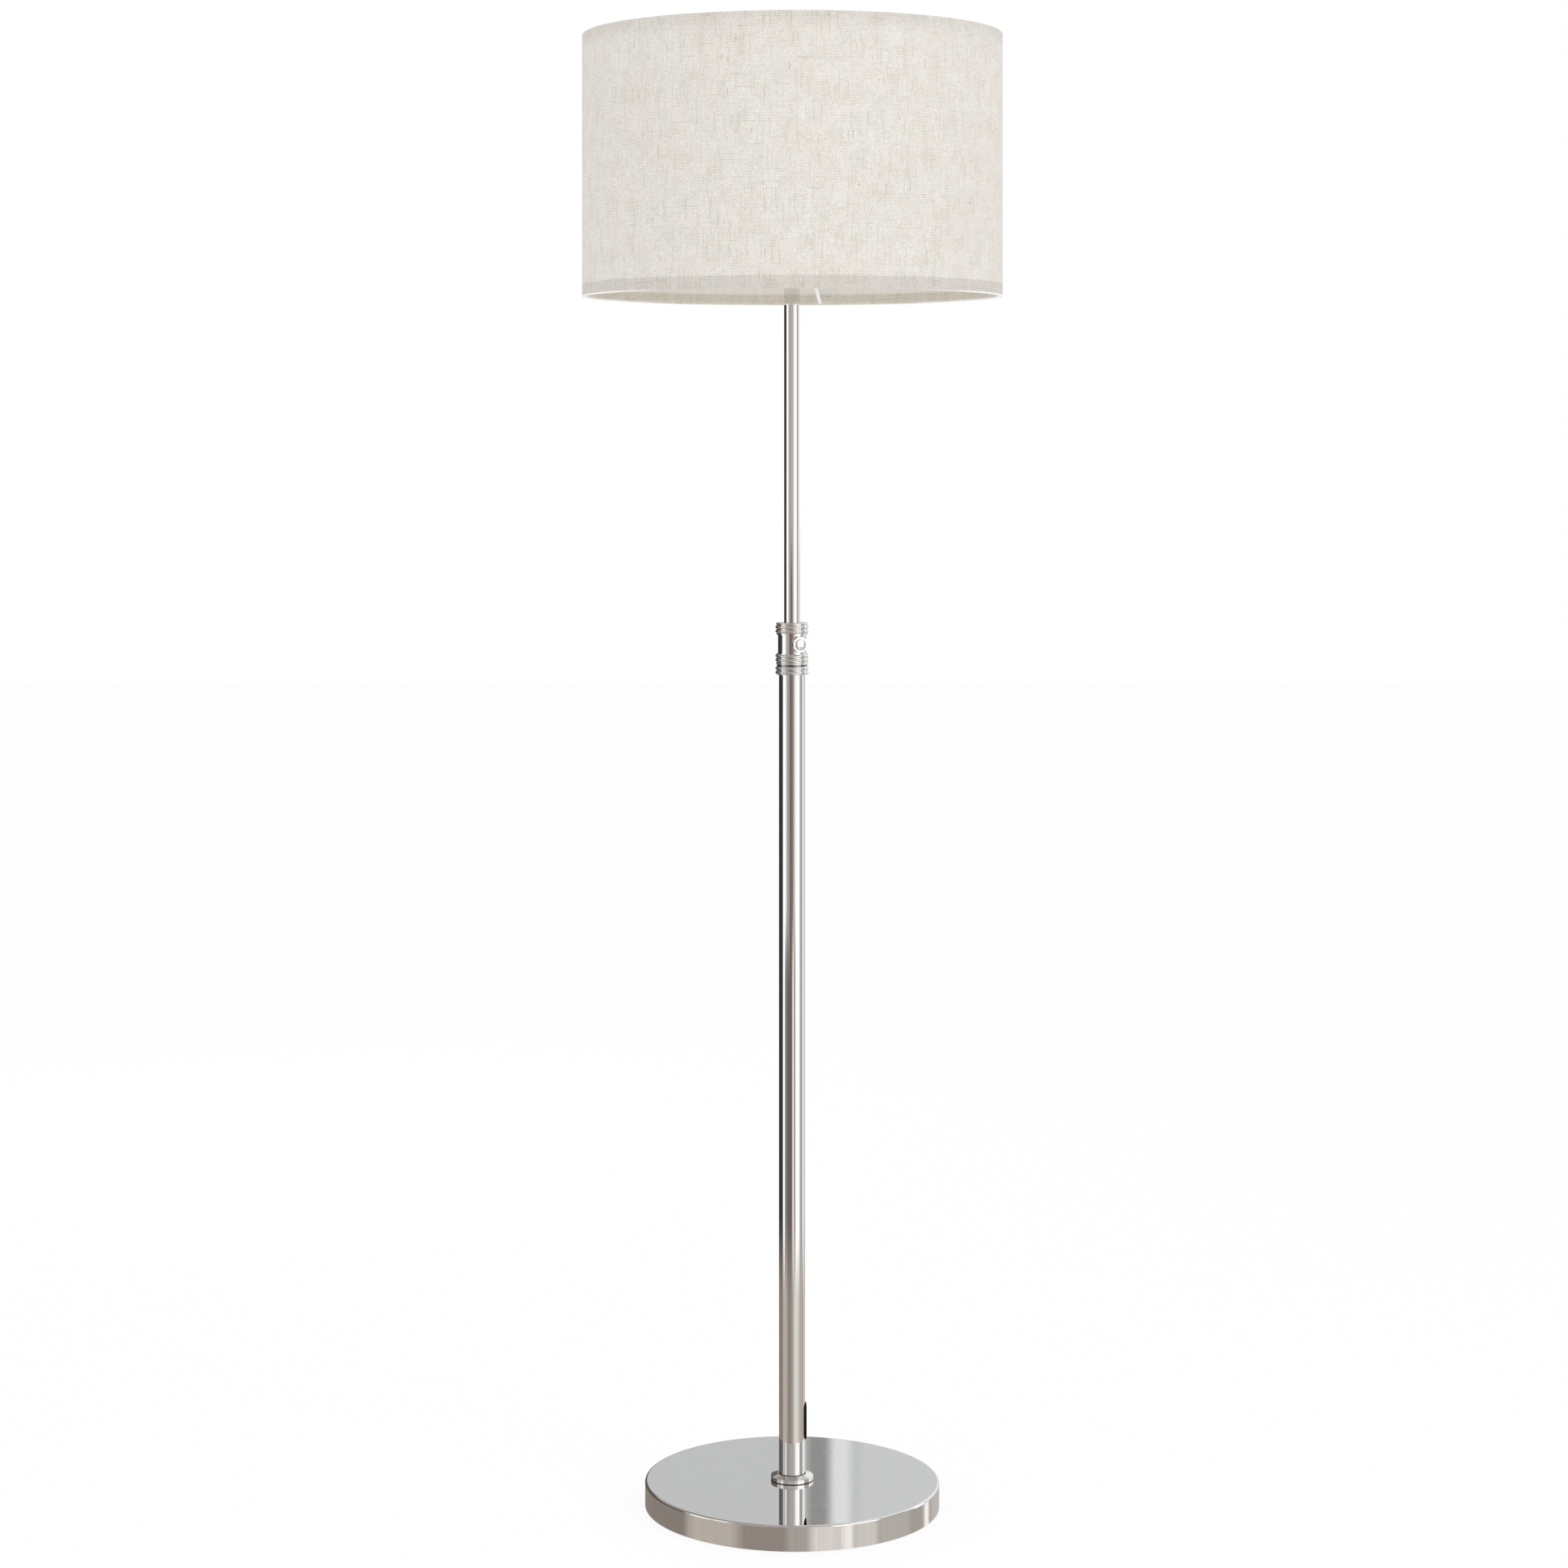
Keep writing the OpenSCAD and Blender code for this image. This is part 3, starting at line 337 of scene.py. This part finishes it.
def natural_linen(paint):
    """Plain-woven natural linen on a pale backing, with slubs and dark flecks."""
    x, y, z = paint.split(paint.place())
    angle = paint.maths("ARCTAN2", x, -y)
    along = angle * SHADE_RADIUS
    warp = paint.maths("COSINE", along * (2 * math.pi / REPEAT_WIDTH))
    weft = paint.maths("COSINE", z * (2 * math.pi / REPEAT_HEIGHT))
    warp_thread = paint.maths("FLOOR", along * (2 / REPEAT_WIDTH) + 0.5)
    weft_thread = paint.maths("FLOOR", z * (2 / REPEAT_HEIGHT) + 0.5)
    crossing = warp * weft      # 1 where an upright thread lies on top, -1 where a level one does
    on_top = paint.step(crossing, -0.3, 0.5)

    # tone: clouds, and threads that are paler or darker along their whole length
    cloud = paint.noise(paint.join(along * 14.0, z * 12.0), 1.0, detail=3.0, roughness=0.6)
    streak = paint.noise(paint.join(warp_thread * 5.3, z * 9.0), 1.0, detail=1.0)
    stripe = paint.noise(paint.join(along * 7.0, weft_thread * 4.7), 1.0, detail=1.0)
    body = paint.mix(paint.step(cloud, 0.3, 0.7), (0.875, 0.855, 0.830), (0.855, 0.825, 0.780))
    body = paint.mix(paint.step(streak, 0.4, 0.7) * 0.4, body, (0.80, 0.77, 0.73))
    body = paint.mix(paint.step(stripe, 0.45, 0.8) * 0.3, body, (0.78, 0.75, 0.71))

    # the weave: painted shade between and under the threads, and each crossing a little paler or
    # darker than the next
    spot = paint.join(warp_thread, weft_thread)
    chance = paint.read(0, "TexWhiteNoise", {0: spot}, noise_dimensions="2D")
    patch = paint.noise(paint.join(along * 55.0, z * 50.0, 3.0), 1.0, detail=2.0)
    relief = 0.7 + paint.step(patch, 0.3, 0.75) * 0.6
    thread_shade = (1.0 - crossing) * 0.17 + (1.0 - weft) * 0.14
    shade = thread_shade * relief + chance * 0.46
    body = paint.mix(shade, body, (0.60, 0.567, 0.505))

    # slubs: beige runs of single threads, and a few brown ones, seen where they lie on top
    upright_top = paint.step(abs(warp), 0.3, 0.8) * (0.25 + on_top * 0.75)
    level_top = paint.step(abs(weft), 0.3, 0.8) * (1.0 - on_top * 0.75)
    slubs = thread_runs(paint, warp_thread, z, 40 * MM, 11.3, 0.59) * upright_top
    level_slubs = thread_runs(paint, weft_thread, along, 34 * MM, 4.1, 0.64) * level_top
    brown = thread_runs(paint, warp_thread, z, 24 * MM, 37.7, 0.72) * upright_top
    brown_rows = thread_runs(paint, weft_thread, along, 12 * MM, 71.9, 0.75) * level_top
    body = paint.mix(slubs * 0.6 + level_slubs * 0.5, body, (0.50, 0.43, 0.30))
    body = paint.mix((brown + brown_rows) * 0.8, body, (0.20, 0.14, 0.07))

    # the hems: painted shade over the doubled linen at the lower edge and a darker fade at the
    # top, painted shade on the hems' inner face, the pale backing inside and a painted highlight
    # on the rolled lower edge
    depth = SHADE_RADIUS - paint.maths("SQRT", x * x + y * y)
    outside = 1.0 - paint.step(depth, BACKING - BACKING_BLUR, BACKING + BACKING_BLUR)
    from_low = z - SHADE_LOW
    lower_hem_shade = 1.0 - paint.step(from_low, HEM_BAND - BAND_BLUR, HEM_BAND + BAND_BLUR)
    top_hem_and_shade = 1.0 - paint.step(SHADE_HIGH - z, BAND_BLUR, TOP_BAND)
    # painted shade: the outside is darker over the doubled linen at the lower edge, where less
    # light comes through
    body = paint.mix(lower_hem_shade * outside, body, (0.845, 0.84, 0.835), blend="MULTIPLY")
    # darker fade towards the top edge: partly the doubled linen of the top hem, partly painted
    # shade
    body = paint.mix(top_hem_and_shade * outside, body, (0.90, 0.895, 0.89), blend="MULTIPLY")
    wall_inside = (1.0 - outside) * (depth < LINEN + WALL_PLAY)
    body = paint.mix(wall_inside * 0.55, body, (0.92, 0.90, 0.845))
    # painted shade: the hems' inner face is coloured a little darker and warmer
    hem_inside_shade = (1.0 - outside) * (depth > LINEN + WALL_PLAY)
    body = paint.mix(hem_inside_shade, body, (0.975, 0.955, 0.91), blend="MULTIPLY")
    rolled = 1.0 - paint.step(from_low, ROLL_HIGHLIGHT * 0.5, ROLL_HIGHLIGHT)
    # Painted highlight, fitted to the photo's own view, in which the lower edge is paler at both
    # ends.
    # No wear was seen there, and from the sides the pale part lies in the middle of the edge.
    painted_edge_highlight = paint.step(abs(x), EDGE_HIGHLIGHT_FROM, EDGE_HIGHLIGHT_FULL) * 0.9
    body = paint.mix(rolled * painted_edge_highlight, body, (0.96, 0.95, 0.93))

    thick = crossing * 0.5 + weft * 0.3 + slubs * 0.6 + level_slubs * 0.6
    paint.surface(Base_Color=body, Roughness=0.93, Specular_IOR_Level=0.25,
                  Sheen_Weight=0.1, Normal=paint.bump(thick, 0.10 * MM, 0.6))


FINISHES = {build.__name__: finish(build.__name__, build) for build in (
    polished_chrome, zinc_steel, brass, nickel_plate, cast_iron, grey_felt,
    black_rubber, black_sheath, nylon, white_powder_coat, white_plastic, porcelain,
    opal_glass, black_glass, natural_linen)}


def dress_frame():
    """Every CAD node gets the finish of its slot in the record."""
    for row in frame["record"]["subparts"]:
        node = frame["nodes"][row["node"]]
        for holder in node.material_slots:
            holder.material = FINISHES[row["material_slot"]]


dress_frame()


# ---- Meshes ----

def add_piece(name, points, faces, body, slot, replaced):
    """A new piece in place of CAD nodes, in the lamp's own frame."""
    mesh = bpy.data.meshes.new(name)
    mesh.from_pydata(points, [], faces)
    mesh.validate()
    shell = bmesh.new()
    shell.from_mesh(mesh)
    bmesh.ops.recalc_face_normals(shell, faces=shell.faces)
    shell.to_mesh(mesh)
    shell.free()
    mesh.shade_smooth()
    mesh.set_sharp_from_angle(angle=math.radians(50))
    mesh.materials.append(FINISHES[slot])
    piece = bpy.data.objects.new(name, mesh)
    bpy.context.scene.collection.objects.link(piece)
    if body:
        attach(piece, body)
    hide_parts(*replaced)
    return piece


def turned(profile, sides):
    """Points and faces of a closed profile of (radius, height) turned round the axis."""
    rows = len(profile)
    points = []
    for i in range(sides):
        angle = 2 * math.pi * i / sides
        points += [(r * math.cos(angle), r * math.sin(angle), z) for r, z in profile]
    faces = []
    for i in range(sides):
        a, b = i * rows, (i + 1) % sides * rows
        faces += [(a + j, b + j, b + (j + 1) % rows, a + (j + 1) % rows)
                  for j in range(rows)]
    return points, faces


# ---- Shade: the linen drum and its rolled hems ----

DRUM_SIDES = 480
DRUM_ROWS = 24
WIRE_RADIUS = 1.8 * MM
SEAM_OVERLAP = 12 * MM      # how far the wall's end laps over its start
SEAM_RISE = 16 * MM         # length over which the end climbs onto the start
SEAM_LIFT = LINEN + 0.15 * MM
WIRE_PLAY = 0.1 * MM        # gap between the ring wire and the drum's wall
FOLD_RADIUS = 0.55 * MM     # rounding of the hem's outer edge
FOLD_ANGLES = (10, 30, 50, 70, 90)
HEM_MEETS_WALL = 0.75 * MM  # height at which the hem's outer edge meets the wall
GLUE_GAP = 0.05 * MM        # gap between the hem and the wall behind it
CURL_STEP = 15              # degrees between two points of the linen round the wire
HEM_LEAVES = 210            # how far round the ring wire the linen follows it, in degrees
HEM_FLAT = MM               # least height that lies flat on the wall


def ease(share):
    """0 to 1 with a soft start and end."""
    share = min(1.0, max(0.0, share))
    return share * share * (3 - 2 * share)


def linen_drum():
    """The drum's wall: one strip, wound once round and glued over its own end at the back."""
    low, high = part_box("shade_fabric")[0].z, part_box("shade_fabric")[1].z
    profile = [(SHADE_RADIUS, low + (high - low) * j / DRUM_ROWS) for j in range(DRUM_ROWS + 1)]
    profile += [(SHADE_RADIUS - LINEN, z) for _, z in reversed(profile)]
    rows = len(profile)
    length = 2 * math.pi * SHADE_RADIUS + SEAM_OVERLAP
    points, faces = [], []
    for i in range(DRUM_SIDES + 1):
        along = length * i / DRUM_SIDES
        angle = math.pi / 2 + along / SHADE_RADIUS
        to_end = length - along
        lift = SEAM_LIFT * ease((SEAM_OVERLAP + SEAM_RISE - to_end) / SEAM_RISE)
        points += [((r + lift) * math.cos(angle), (r + lift) * math.sin(angle), z)
                   for r, z in profile]
    for i in range(DRUM_SIDES):
        a, b = i * rows, (i + 1) * rows
        faces += [(a + j, b + j, b + (j + 1) % rows, a + (j + 1) % rows) for j in range(rows)]
    for start in (0, DRUM_SIDES * rows):
        faces += [(start + j, start + j + 1, start + rows - 2 - j, start + rows - 1 - j)
                  for j in range(DRUM_ROWS)]
    return add_piece("linen_drum", points, faces, "mast", "natural_linen", ["shade_fabric"])


def rolled_hem(name, node, edge_z, up):
    """Linen rolled over the ring wire at edge_z and glued up the inside wall."""
    low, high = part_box(node)
    top = edge_z + up * (high.z - low.z)
    outer = SHADE_RADIUS
    inner = outer - LINEN
    ring_r = inner - WIRE_PLAY - WIRE_RADIUS
    curl = WIRE_RADIUS + HEM
    centre = edge_z + up * curl
    leave = math.radians(-HEM_LEAVES)
    meet = (inner - HEM - ring_r - curl * math.cos(leave)) / -math.tan(leave)
    meet = min(curl * math.sin(leave) + meet, abs(top - centre) - HEM_FLAT)
    profile = [(outer, edge_z + up * HEM_MEETS_WALL)]
    for angle in (math.radians(degrees) for degrees in FOLD_ANGLES):
        profile.append((outer - FOLD_RADIUS + FOLD_RADIUS * math.cos(angle),
                        edge_z + up * (FOLD_RADIUS - FOLD_RADIUS * math.sin(angle))))
    for degrees in range(-90, -HEM_LEAVES - 1, -CURL_STEP):
        angle = math.radians(degrees)
        profile.append((ring_r + curl * math.cos(angle), centre + up * curl * math.sin(angle)))
    profile += [(inner - HEM, centre + up * meet), (inner - HEM, top),
                (inner - GLUE_GAP, top), (inner - GLUE_GAP, edge_z + up * HEM_MEETS_WALL)]
    if up < 0:
        profile.reverse()
    points, faces = turned(profile, DRUM_SIDES)
    return add_piece(name, points, faces, "mast", "natural_linen", [node])


drum = linen_drum()
lower_hem = rolled_hem("lower_hem", "bottom_hem", SHADE_LOW, 1)
upper_hem = rolled_hem("upper_hem", "top_hem", SHADE_HIGH, -1)


# ---- Curled lead in the column ----

LEAD_RADIUS = 3.0 * MM
CURL_COUNT = 40
CURL_STEPS = 24             # points of the lead in one curl
LEAD_SIDES = 10
LEAD_STRAIGHT = 12 * MM     # straight length below and above the curls
LEAST_LEAN = 0.05           # a stretch that leans less than this counts as upright


def curled_lead():
    """The lead winds up the column, from the connector to the mast's foot."""
    low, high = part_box("column_lead")[0].z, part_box("column_lead")[1].z
    curl_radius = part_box("column_lead")[1].x - LEAD_RADIUS
    rise = (high - low - 2 * LEAD_STRAIGHT) / CURL_COUNT
    count = CURL_COUNT * CURL_STEPS
    path = [(0.0, 0.0, low), (0.0, 0.0, low + LEAD_STRAIGHT / 2)]
    for i in range(count + 1):
        turn = i / CURL_STEPS
        reach = curl_radius * min(1.0, turn, CURL_COUNT - turn)
        angle = 2 * math.pi * turn
        path.append((reach * math.cos(angle), reach * math.sin(angle),
                     low + LEAD_STRAIGHT + rise * turn))
    path += [(0.0, 0.0, high - LEAD_STRAIGHT / 2), (0.0, 0.0, high)]
    return path


def swept(path, radius, sides):
    """Points and faces of a round tube along path, with closed ends."""
    points, faces = [], []
    last = len(path) - 1
    for i, here in enumerate(path):
        before, after = path[max(i - 1, 0)], path[min(i + 1, last)]
        way = [b - a for a, b in zip(before, after)]
        size = math.hypot(*way)
        way = [w / size for w in way]
        flat = math.hypot(way[0], way[1])
        side = (-way[1] / flat, way[0] / flat, 0.0) if flat > LEAST_LEAN else (0.0, 1.0, 0.0)
        third = (way[1] * side[2] - way[2] * side[1], way[2] * side[0] - way[0] * side[2],
                 way[0] * side[1] - way[1] * side[0])
        for k in range(sides):
            c, s = math.cos(2 * math.pi * k / sides), math.sin(2 * math.pi * k / sides)
            points.append(tuple(here[n] + radius * (c * side[n] + s * third[n])
                                for n in range(3)))
    for i in range(last):
        a, b = i * sides, (i + 1) * sides
        faces += [(a + k, a + (k + 1) % sides, b + (k + 1) % sides, b + k)
                  for k in range(sides)]
    faces.append(tuple(reversed(range(sides))))
    faces.append(tuple(last * sides + k for k in range(sides)))
    return points, faces


lead_points, lead_faces = swept(curled_lead(), LEAD_RADIUS, LEAD_SIDES)
lead = add_piece("curled_lead", lead_points, lead_faces, None, "black_sheath", ["column_lead"])
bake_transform(lead)


# ---- Studio ----

CHROME_SHARE = 0.83         # how much of a card's light the chrome sends back


def seen(*levels):
    """Light of a card that shows in the chrome as these 8-bit levels."""
    made = []
    for level in levels:
        share = level / 255
        light = share / 12.92 if share <= 0.04045 else ((share + 0.055) / 1.055) ** 2.4
        made.append(light / CHROME_SHARE)
    return tuple(made)


GLARE = (1.35, 1.35, 1.35)
# Cards that only reflections show, laid out so that the chrome has the photograph's
# stripes: a name, the left and right edge in degrees from the camera's direction, the
# lower and upper edge in degrees from the horizon, and the light
WALL_CARDS = [
    ("grey card above the dark one, back left", -176, -90, 4, 27, seen(98, 96, 94)),
    ("dark card, back left", -176, -90, -20, 4, seen(46, 45, 45)),
    ("blue-grey stripe in the dark card", -114, -95, -20, 4, seen(60, 62, 68)),
    ("light stripe, left", -84, -64, -20, 12, GLARE),
    ("narrow light stripe, left, high", -85, -76, 12, 40, seen(205, 203, 202)),
    ("pale card, left", -65, -50, -20, 40, seen(238, 235, 232)),
    ("grey card, front left", -45, -22, -20, 40, seen(161, 158, 155)),
    ("dark foot of the front cards", -66, -4, -20, -8.6, seen(102, 94, 90)),
    ("brown-grey foot of the front cards", -58, -43, -20, -8.6, seen(132, 124, 120)),
    ("brown card, front", -21, 6, -20, -2, seen(102, 90, 86)),
    ("brown-grey card beside it", -6, 13, -20, -3, seen(132, 120, 115)),
    ("gleam on the brown-grey card", 4, 15, -20, -8.5, seen(246, 240, 234)),
    ("pale card, front", 15, 30, -8.5, 40, seen(208, 203, 198)),
    ("grey foot of the pale card", 18, 30, -20, -8.5, seen(150, 142, 136)),
    ("big light, right", 31, 70, -20, 40, GLARE),
    ("grey card, right", 78, 97, -20, 40, seen(162, 162, 161)),
    ("light stripe, right", 108, 122, -20, 40, GLARE),
    ("grey back, right", 125, 181, -20, -2, seen(186, 187, 188)),
    ("pale back, right, high", 125, 181, -2, 40, seen(232, 232, 232)),
]
FLOOR_CARDS = [
    ("dark floor, back left", -181, -91, seen(132, 124, 117)),
    ("lit floor, left", -85, -46, seen(182, 173, 164)),
    ("shaded floor, front left", -40, -4, seen(142, 133, 126)),
    ("lit floor, front right", 14, 37, seen(216, 210, 205)),
    ("gleam on the floor", 38, 49, seen(240, 236, 232)),
    ("lit floor, right", 50, 70, seen(205, 200, 195)),
    ("floor, right", 72, 104, seen(178, 173, 168)),
    ("bright floor, right", 126, 134, seen(252, 250, 247)),
    ("floor, back right", 139, 181, seen(186, 181, 176)),
]
CEILING_CARDS = [
    ("dark ceiling, back left", -168, -84, seen(140, 132, 125)),
    ("ceiling, front", -70, 60, seen(158, 153, 149)),
    ("bright ceiling, right", 84, 158, seen(226, 225, 223)),
]
# Upright bands behind the lamp, which the base's top face mirrors
BACK_BANDS = [
    ("grey band behind, right", 172.0, 178.85, seen(196, 197, 198)),
    ("pale band behind", 179.02, 179.34, seen(216, 217, 218)),
    ("dark band behind", 179.38, 179.75, seen(140, 139, 138)),
]
BACK_LIGHT = seen(187, 188, 189)
STREAK_LIGHT = seen(124, 112, 102)
CARD_FADE = (2.0, 0.8)      # how softly a card ends sideways and up or down, in degrees
FLOOR_FADE = 4.0
CEILING_FADE = 8.0
BAND_FADE = 0.1
BACK_FROM = (172.0, 178.0)  # the back starts between these, in degrees from the camera
ABOVE_HORIZON = (0.0, 4.0)
WALL_FOOT = (-14.4, -12.8)
WALL_TOP = (28.0, 42.0)
CAMERA_TURN = math.degrees(math.atan2(CAMERA_LEFT, CAMERA_DISTANCE))


def band(paint, value, low, high, soft):
    """1 where value lies between low and high, fading over soft on each side."""
    return (paint.step(value, low - soft, low + soft)
            * (1.0 - paint.step(value, high - soft, high + soft)))


def studio_reflections(paint):
    """The room that the chrome mirrors."""
    x, y, z = paint.split(paint.read("Generated", "TexCoord"))
    azimuth = paint.maths("ARCTAN2", x, -y) * math.degrees(1) + CAMERA_TURN
    elevation = paint.maths("ARCSINE", z) * math.degrees(1)

    walls = seen(176, 172, 168)
    sideways, upright = CARD_FADE
    for _, left, right, low, high, light in WALL_CARDS:
        share = band(paint, azimuth, left, right, sideways)
        walls = paint.mix(share * band(paint, elevation, low, high, upright), walls, light)
    above = paint.step(elevation, *ABOVE_HORIZON)
    behind = paint.step(abs(azimuth), *BACK_FROM)
    walls = paint.mix(behind * above, walls, BACK_LIGHT)
    for _, left, right, light in BACK_BANDS:
        walls = paint.mix(band(paint, azimuth, left, right, BAND_FADE) * above, walls, light)

    ground = seen(165, 158, 151)
    for _, left, right, light in FLOOR_CARDS:
        ground = paint.mix(band(paint, azimuth, left, right, FLOOR_FADE), ground, light)
    streaks = paint.noise(paint.join(azimuth * 0.55, 0.0), 1.0, detail=4.0, roughness=0.8)
    ground = paint.mix(paint.step(streaks, 0.42, 0.75) * 0.4, ground, STREAK_LIGHT)

    ceiling = seen(190, 188, 186)
    for _, left, right, light in CEILING_CARDS:
        ceiling = paint.mix(band(paint, azimuth, left, right, CEILING_FADE), ceiling, light)

    room = paint.mix(paint.step(elevation, *WALL_FOOT), ground, walls)
    return paint.mix(paint.step(elevation, *WALL_TOP), room, ceiling)


AMBIENT = 0.915             # even light from all around, on what isn't a mirror


def light_world():
    """Even light, the room in reflections, and white straight behind the lamp."""
    world = bpy.data.worlds.new("studio")
    bpy.context.scene.world = world
    paint = Paint(world)
    rays = paint.node("LightPath", {})
    glossy = Value(paint, rays.outputs["Is Glossy Ray"])
    seen_straight = Value(paint, rays.outputs["Is Camera Ray"])
    room = paint.mix(glossy, (AMBIENT, AMBIENT, AMBIENT), studio_reflections(paint))
    colour = paint.mix(seen_straight, room, (1.0, 1.0, 1.0))
    shader = paint.read(0, "Background", {"Color": colour, "Strength": 1.0})
    paint.node("OutputWorld", {"Surface": shader})


AIM = (0.0, 0.0, 1.2)       # what the lamps point at, in metres
LAMPS = [                   # name, place and width in metres, and power in watts
    ("key", (2.6, -2.2, 2.4), 1.6, 21.0),
    ("fill", (-1.8, -2.4, 1.5), 1.2, 8.5),
    ("rim", (-1.1, 2.8, 1.6), 1.0, 6.0),
]


def add_lamp(name, place, size, power):
    """A round lamp that points at AIM and that mirrors don't show."""
    data = bpy.data.lights.new(name, "AREA")
    data.shape = "DISK"
    data.size = size
    data.energy = power
    lamp = bpy.data.objects.new(name, data)
    lamp.location = place
    way = [t - p for t, p in zip(AIM, place)]
    flat = math.hypot(way[0], way[1])
    lamp.rotation_euler = (math.atan2(flat, -way[2]), 0.0, math.atan2(-way[0], way[1]))
    lamp.visible_glossy = False
    bpy.context.scene.collection.objects.link(lamp)


FLOOR_REACH = 12.0          # half the floor's width, in metres
FLOOR_WHITE = 0.88          # how far the camera sees plain white instead of the shadow


def pale_floor(paint):
    """White floor that keeps a faint shadow of the lamp."""
    chalk = paint.read(0, "BsdfDiffuse", {"Color": (0.96, 0.96, 0.96, 1.0)})
    white = paint.read(0, "Emission", {"Color": (1.0, 1.0, 1.0, 1.0), "Strength": 1.0})
    rays = paint.node("LightPath", {})
    straight = Value(paint, rays.outputs["Is Camera Ray"])
    shader = paint.read(0, "MixShader", {0: straight * FLOOR_WHITE, 1: chalk, 2: white})
    paint.node("OutputMaterial", {"Surface": shader})


def lay_floor():
    """The floor, which is stage and no piece of the lamp."""
    reach = FLOOR_REACH
    corners = [(-reach, -reach, 0), (reach, -reach, 0), (reach, reach, 0), (-reach, reach, 0)]
    mesh = bpy.data.meshes.new("floor")
    mesh.from_pydata(corners, [], [(0, 1, 2, 3)])
    mesh.materials.append(finish("pale_floor", pale_floor))
    floor = bpy.data.objects.new("floor", mesh)
    bpy.context.scene.collection.objects.link(floor)
    floor.visible_glossy = False


light_world()
for lamp_row in LAMPS:
    add_lamp(*lamp_row)
lay_floor()
bpy.context.scene.view_settings.view_transform = "Standard"
